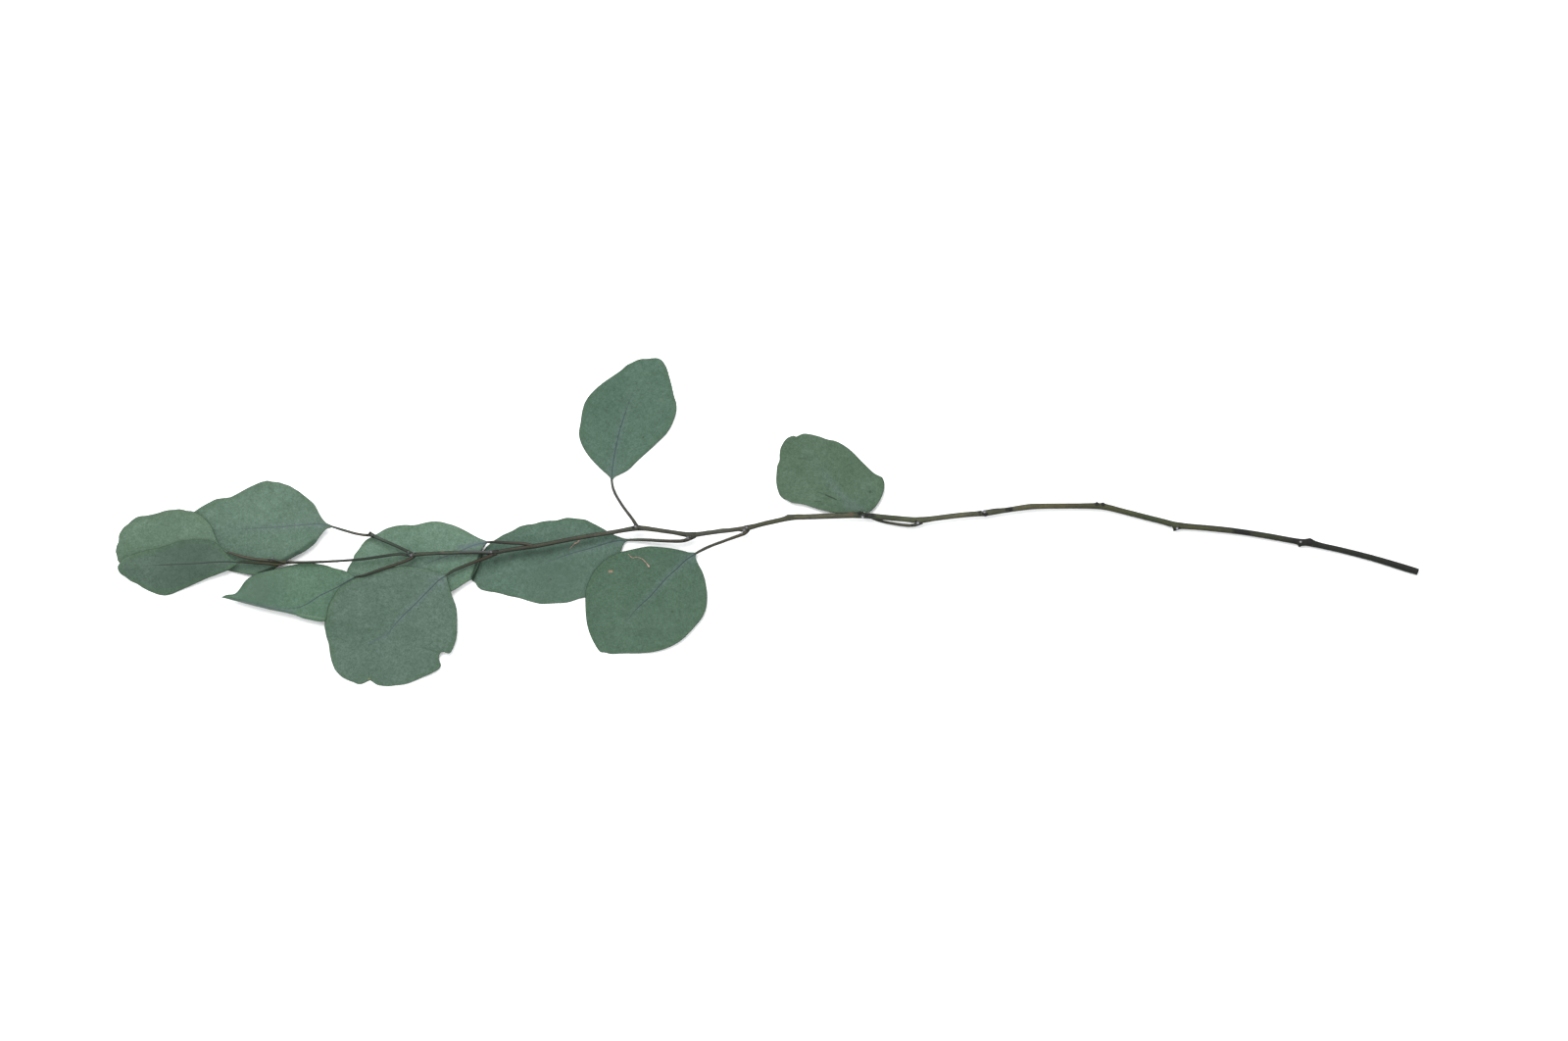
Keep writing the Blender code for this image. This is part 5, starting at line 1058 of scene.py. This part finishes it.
def thread_material():
    n = Nodes("dried_thread_finish")
    xyz = n.object_coords()
    patch = n.noise(xyz, 700.0, 3.0, 0.6)
    fibre = n.noise(xyz, 3500.0, 2.0, 0.5)
    colour = n.mix(n.ramp(patch, 0.3, 0.7), tone(196, 166, 148, 0.54), tone(146, 122, 108, 0.54))
    colour = n.mix(1.0, colour, n.mix(fibre, (0.8, 0.8, 0.8), (1.2, 1.2, 1.2)), "MULTIPLY")
    n.join(colour, n.shader.inputs["Base Color"])
    n.join(n.ramp(patch, 0.2, 0.8, 0.7, 0.85), n.shader.inputs["Roughness"])
    n.join(n.bump(fibre, 0.00004, 0.8), n.shader.inputs["Normal"])
    return n.material


# ---------------------------------------------------------------- what each leaf looks like
DARK = (52, 62, 46)
LOOKS = {
    "leaf_upright": {"tint": (0.857, 0.963, 0.915), "green": (91, 119, 103), "pale": (100, 127, 111), "deep": (84, 112, 92),
                     "stalk": ((86, 83, 74), (92, 96, 90)), "stalk_from": -26, "stalk_to": -2,
                     "spots": [("spot", (656.5, 446), 0.42, (52, 62, 44), 0.8),
                               ("spot", (674, 408), 1.0, (122, 142, 126), 0.35), ("spot", (678, 411), 0.8, (118, 138, 122), 0.3)],
                     "rib": 0.78, "rib_end": 0.45},
    "leaf_beside_stem": {"tint": (0.858, 0.932, 0.824), "green": (93, 119, 100), "pale": (102, 127, 110), "deep": (82, 110, 88),
                         "stalk": ((98, 99, 81), (74, 86, 68)), "rib": 0.20, "rib_end": 0.2, "rib_colour": (118, 138, 128),
                         "spots": [("streak", ((834, 501.6), (845, 505.6)), 0.24, (66, 90, 68), 0.75),
                                   ("streak", ((843, 505), (853.4, 509.6)), 0.30, (38, 56, 42), 0.95),
                                   ("streak", ((832, 511.6), (838, 511.6)), 0.30, (58, 80, 58), 0.75),
                                   ("streak", ((812, 503), (819, 503.4)), 0.30, (78, 104, 84), 0.5),
                                   ("streak", ((815, 506.6), (822, 507.4)), 0.30, (78, 104, 84), 0.6),
                                   ("spot", (888, 501.6), 0.75, (56, 80, 58), 0.8),
                                   ("spot", (885.4, 501.0), 0.5, (68, 96, 72), 0.5),
                                   ("spot", (891, 500.6), 0.5, (68, 96, 72), 0.5),
                                   ("streak", ((816, 467.4), (822, 467.8)), 0.55, (66, 92, 68), 0.65),
                                   ("streak", ((822, 463), (826, 470)), 0.35, (78, 102, 80), 0.5),
                                   ("streak", ((814, 464), (818, 462.4)), 0.35, (78, 102, 80), 0.4),
                                   ("spot", (826, 474), 0.6, (74, 100, 76), 0.5),
                                   ("spot", (843, 465), 1.0, (82, 108, 84), 0.4),
                                   ("spot", (849.6, 469), 0.8, (82, 108, 84), 0.4)]},
    "leaf_lower_right": {"tint": (0.856, 0.947, 0.916), "green": (89, 117, 97), "pale": (98, 125, 105), "deep": (80, 108, 87),
                         "stalk": ((92, 87, 66), (86, 89, 76)), "rib": 0.78, "rib_end": 0.55, "rib_colour": (60, 74, 84),
                         "spots": [("streak", ((622, 583), (624.4, 583)), 0.55, (188, 150, 126), 0.95),
                                   ("spot", (686, 624), 0.50, (62, 80, 58), 0.8),
                                   ("spot", (702, 613), 0.40, (70, 92, 70), 0.5)]},
    "leaf_middle": {"tint": (0.953, 1.027, 0.963), "green": (95, 122, 109), "pale": (106, 132, 119), "deep": (86, 114, 97),
                    "stalk": ((82, 78, 67), (92, 101, 87)), "rib": 0.62, "rib_end": 0.35,
                    # painted shade: a broad darker patch, the stem's painted shadow below it, and the inner leaf's
                    # painted shadow along its rim
                    "spots": [("shade_patch", (566, 588), 14.0, (80, 108, 92), 0.45),
                              ("shade", ((506, 572), (524, 568)), 1.7, (58, 80, 68), 0.52),
                              ("shade", ((524, 568), (562, 562)), 1.4, (62, 84, 72), 0.46),
                              ("shade", ((562, 562), (604, 552)), 1.2, (64, 86, 76), 0.42),
                              ("streak", ((491.4, 565), (482.5, 590)), 1.0, (30, 54, 40), 0.85),
                              ("spot", (562, 591), 0.45, (58, 74, 56), 0.75),
                              ("spot", (560, 592.6), 0.8, (78, 102, 82), 0.4)]},
    "leaf_inner": {"tint": (1.155, 1.226, 1.141), "green": (103, 130, 114), "pale": (114, 140, 125), "deep": (92, 120, 101),
                   "stalk": ((92, 86, 76), (60, 58, 52)), "rib": 0.5, "rib_end": 0.35,
                   "spots": [("streak", ((499.0, 554.2), (495.2, 557.6)), 0.70, (62, 58, 52), 0.95),
                             ("streak", ((495.2, 557.6), (491.6, 562.6)), 0.70, (58, 56, 50), 0.95),
                             # painted shade along the rim that lies over the middle leaf, and the twigs' painted shadow
                             ("streak", ((490.8, 563.4), (481.5, 588.6)), 0.60, (26, 50, 36), 0.90),
                             ("shade", ((436, 574), (470, 570)), 1.2, (76, 102, 88), 0.40),
                             ("streak", ((468, 558), (497, 553.4)), 0.9, (108, 122, 134), 0.5),
                             ("streak", ((474, 560.5), (487, 556)), 0.5, (106, 116, 132), 0.4)]},
    "leaf_lower_large": {"tint": (1.038, 1.066, 1.015), "green": (94, 120, 106), "pale": (104, 128, 116), "deep": (86, 112, 96),
                         "stalk": ((72, 64, 49), (67, 76, 62)), "stalk_from": -20, "rib": 0.72, "rib_end": 0.45,
                         "spots": [("spot", (427, 621), 0.45, (58, 76, 56), 0.75),
                                   ("streak", ((430, 660), (449, 666)), 0.45, (80, 104, 86), 0.55),
                                   ("streak", ((396, 646), (377, 657)), 0.55, (92, 106, 116), 0.40),
                                   ("streak", ((400, 637), (424, 628.6)), 0.40, (96, 112, 118), 0.25),
                                   ("spot", (376.5, 692.5), 0.55, (150, 148, 100), 0.8)]},
    "leaf_folded": {"tint": (0.967, 1.107, 0.973), "green": (98, 125, 110), "pale": (108, 135, 120), "deep": (88, 116, 97),
                    "stalk": ((77, 73, 60), (56, 64, 53)), "stalk_from": -22, "stalk_to": -6, "stalk_shade_depth": 0.85,
                    "rib": 0.80, "rib_end": 0.42, "rib_bloom": 0.10, "bloom": (104, 124, 118),
                    # painted shade on the lower half
                    "spots": [("shade_patch", (262, 603), 12.0, (76, 104, 86), 0.60),
                              ("streak", ((300, 624.2), (272, 618.9)), 0.65, (122, 134, 142), 0.45),
                              ("streak", ((272, 618.9), (247, 613.6)), 0.60, (118, 132, 138), 0.40),
                              ("streak", ((305, 626.6), (331, 631.4)), 0.40, (140, 164, 140), 0.50)]},
    "leaf_upper_left": {"tint": (1.039, 1.066, 1.003), "green": (98, 126, 111), "pale": (108, 136, 121), "deep": (88, 116, 99),
                        "stalk": ((106, 101, 86), (90, 99, 88)), "stalk_from": -18, "stalk_to": -4,
                        "rib": 0.66, "rib_end": 0.5, "rib_colour": (84, 98, 106),
                        # painted shade on the rim turned down, a painted shade patch, and a painted shadow in the gap
                        # by the folded leaf
                        "spots": [("streak", ((321, 553.0), (304, 565.6)), 1.5, (58, 88, 70), 0.85),
                                  ("streak", ((304, 565.6), (289, 574)), 1.9, (44, 70, 56), 0.90),
                                  ("shade_patch", (254, 580), 8.0, (66, 94, 74), 0.25),
                                  ("streak", ((284, 578.5), (265, 585.4)), 1.1, (20, 46, 26), 0.95)]},
    "leaf_end_upper": {"tint": (0.921, 0.966, 0.905), "green": (102, 130, 111), "pale": (112, 140, 121), "deep": (92, 120, 97),
                       "stalk": ((97, 94, 80), (98, 97, 82)), "stalk_shade_depth": 0.70, "rib": 0.40, "rib_end": 0.9, "rib_fade": 0.1,
                       "rib_colour": (122, 148, 126), "rib_bloom": 0.0,
                       "spots": [("shade", ((232, 566), (240, 578)), 1.6, (70, 94, 76), 0.40)]},
    "leaf_end_lower": {"tint": (1.091, 1.188, 1.039), "green": (86, 106, 97), "pale": (94, 114, 105), "deep": (78, 100, 87),
                       "stalk": ((82, 78, 44), (60, 66, 46)), "rib": 0.88, "rib_end": 0.55, "rib_width": 0.46, "rib_bloom": 0.10, "bloom": (84, 104, 98), "rib_colour": (44, 52, 58),
                       # painted shade across the middle
                       "spots": [("shade_patch", (196, 566), 13.0, (62, 84, 72), 0.50)]},
}
STEM_STOPS = [
    (420, (78, 84, 73)), (460, (84, 92, 80)), (500, (68, 71, 64)), (550, (78, 80, 67)), (640, (90, 92, 81)),
    (698, (78, 80, 71)), (735, (98, 100, 90)), (757, (84, 83, 72)), (790, (92, 93, 73)), (850, (102, 104, 86)),
    (880, (78, 86, 68)), (925, (93, 99, 76)), (965, (104, 105, 86)), (1020, (92, 95, 76)), (1055, (105, 102, 76)),
    (1085, (93, 89, 66)), (1140, (81, 85, 60)), (1180, (75, 84, 59)), (1215, (87, 89, 62)), (1250, (80, 82, 60)),
    (1272, (56, 57, 45)), (1292, (66, 70, 51)), (1320, (47, 49, 41)), (1360, (42, 47, 39)), (1448, (38, 40, 36)),
]
UPPER_STOPS = [(376, (66, 78, 70)), (384, (86, 102, 92)), (400, (72, 89, 77)), (420, (72, 80, 73))]
TERMINAL_STOPS = [(276, (88, 108, 104)), (283, (84, 98, 90)), (290, (88, 84, 66)), (306, (70, 76, 62)), (345, (76, 80, 72)), (372, (52, 64, 53)),
                  (395, (60, 71, 61)), (420, (74, 82, 76))]

# ---------------------------------------------------------------- build the pieces
for number, (name, leaf) in enumerate(LEAVES.items()):
    obj, length = make_leaf(name, leaf, number)
    obj.data.materials.append(leaf_material(name, LOOKS[name], length, number))

stem = make_wood("main_stem", MAIN_STEM + [(420.6, 566.1, 9.05, 0.80)], STEM_SIDES, 7, start="cut")
stem.data.materials.append(wood_material("stem_bark", STEM_STOPS, 1))
upper = make_wood("upper_twig", [(423.6, 565.6, 9.05, 0.64)] + UPPER_TWIG, TWIG_SIDES, 8)
upper.data.materials.append(wood_material("upper_twig_bark", UPPER_STOPS, 2, 0.75, (34, 42, 36)))
terminal = make_wood("terminal_twig", [(424.0, 566.8, 9.02, 0.54)] + TERMINAL_TWIG, TWIG_SIDES, 9)
terminal.data.materials.append(wood_material("terminal_twig_bark", TERMINAL_STOPS, 3, 0.80, (26, 34, 26)))


def surface_height(obj, x, y):
    """The height of a piece's upper surface at a plan position."""
    hit, at, _, _ = obj.ray_cast((float(x), float(y), 0.05), (0.0, 0.0, -1.0))
    return at[2] if hit else None


def make_thread(name, leaf_name, path, sizes):
    """A dried fibre that lies on a leaf."""
    ground = bpy.data.objects[leaf_name + "_leaf"]
    fine = curve_at(np.array(path, float), np.linspace(0, 1, 46))
    thick = np.interp(np.linspace(0, 1, 46), np.linspace(0, 1, len(sizes)), sizes)
    rng = np.random.default_rng(len(path) + 40)
    thick = thick * (1 + 0.25 * waves(rng, np.arange(46) * 1.0, np.zeros(46), 4, 3, 9))
    data = bpy.data.curves.new(name, "CURVE")
    data.dimensions = "3D"
    data.bevel_depth = MM
    data.bevel_resolution = 3
    data.use_fill_caps = True
    spline = data.splines.new("POLY")
    spline.points.add(45)
    for p, at, r in zip(spline.points, fine, thick):
        x, y = place(at)
        z = surface_height(ground, x, y)
        p.co = (x, y, (z if z is not None else 0.003) + r * MM * 0.75, 1.0)
        p.radius = r
    curve = bpy.data.objects.new(name + "_path", data)
    bpy.context.scene.collection.objects.link(curve)
    mesh = bpy.data.meshes.new_from_object(curve.evaluated_get(bpy.context.evaluated_depsgraph_get()))
    bpy.data.objects.remove(curve)
    obj = bpy.data.objects.new(name, mesh)
    bpy.context.scene.collection.objects.link(obj)
    mesh.shade_smooth()
    mesh.materials.clear()
    mesh.materials.append(THREAD)
    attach(obj, "root")
    return obj


THREAD = thread_material()
bpy.context.view_layer.update()
make_thread("dried_thread_a", "leaf_lower_right",
            [(641, 565), (643, 567.2), (645, 569), (650, 568.6), (655, 570), (658, 572.5), (661, 576.2), (662.6, 578.4)],
            (0.14, 0.22, 0.20, 0.18, 0.22, 0.28, 0.42))
make_thread("dried_thread_b", "leaf_middle",
            [(591.3, 551.2), (589.6, 553.2), (586.4, 554.6), (584.6, 556.8), (581.6, 559.6)],
            (0.30, 0.34, 0.26, 0.22, 0.14))

# ---------------------------------------------------------------- floor, light and camera
floor_mesh = bpy.data.meshes.new("floor")
floor_mesh.from_pydata([(-8, -8, 0), (8, -8, 0), (8, 8, 0), (-8, 8, 0)], [], [(0, 1, 2, 3)])
floor = bpy.data.objects.new("floor", floor_mesh)
bpy.context.scene.collection.objects.link(floor)
paper = Nodes("floor_finish")
paper.shader.inputs["Base Color"].default_value = (0.92, 0.925, 0.93, 1.0)
paper.shader.inputs["Roughness"].default_value = 0.85
paper.shader.inputs["Specular IOR Level"].default_value = 0.1
floor_mesh.materials.append(paper.material)

world = bpy.data.worlds.new("studio")
bpy.context.scene.world = world
world.use_nodes = True
world.node_tree.nodes["Background"].inputs["Color"].default_value = (0.985, 0.995, 1.0, 1.0)
world.node_tree.nodes["Background"].inputs["Strength"].default_value = 1.22


def add_light(name, location, target, size, power, colour=(1.0, 1.0, 1.0)):
    data = bpy.data.lights.new(name, "AREA")
    data.shape = "DISK"
    data.size = size
    data.energy = power
    data.color = colour
    obj = bpy.data.objects.new(name, data)
    obj.location = location
    direction = np.array(target, float) - np.array(location, float)
    from mathutils import Vector
    obj.rotation_euler = Vector(direction).to_track_quat("-Z", "Y").to_euler()
    bpy.context.scene.collection.objects.link(obj)
    return obj


add_light("key", (-0.80, 1.75, 3.05), (0, 0, 0), 2.4, 153.0, (1.0, 0.995, 0.985))

camera_data = bpy.data.cameras.new("camera")
camera_data.lens = 576.0
camera_data.sensor_width = 36.0
camera_data.sensor_fit = "HORIZONTAL"
camera_data.clip_start, camera_data.clip_end = 0.05, 60.0
camera = bpy.data.objects.new("camera", camera_data)
middle = place((800.0, 531.0))
camera.location = (middle[0] + 0.00008, middle[1], 12.805)
bpy.context.scene.collection.objects.link(camera)
bpy.context.scene.camera = camera

bpy.context.scene.view_settings.view_transform = "Standard"
bpy.context.scene.view_settings.look = "None"
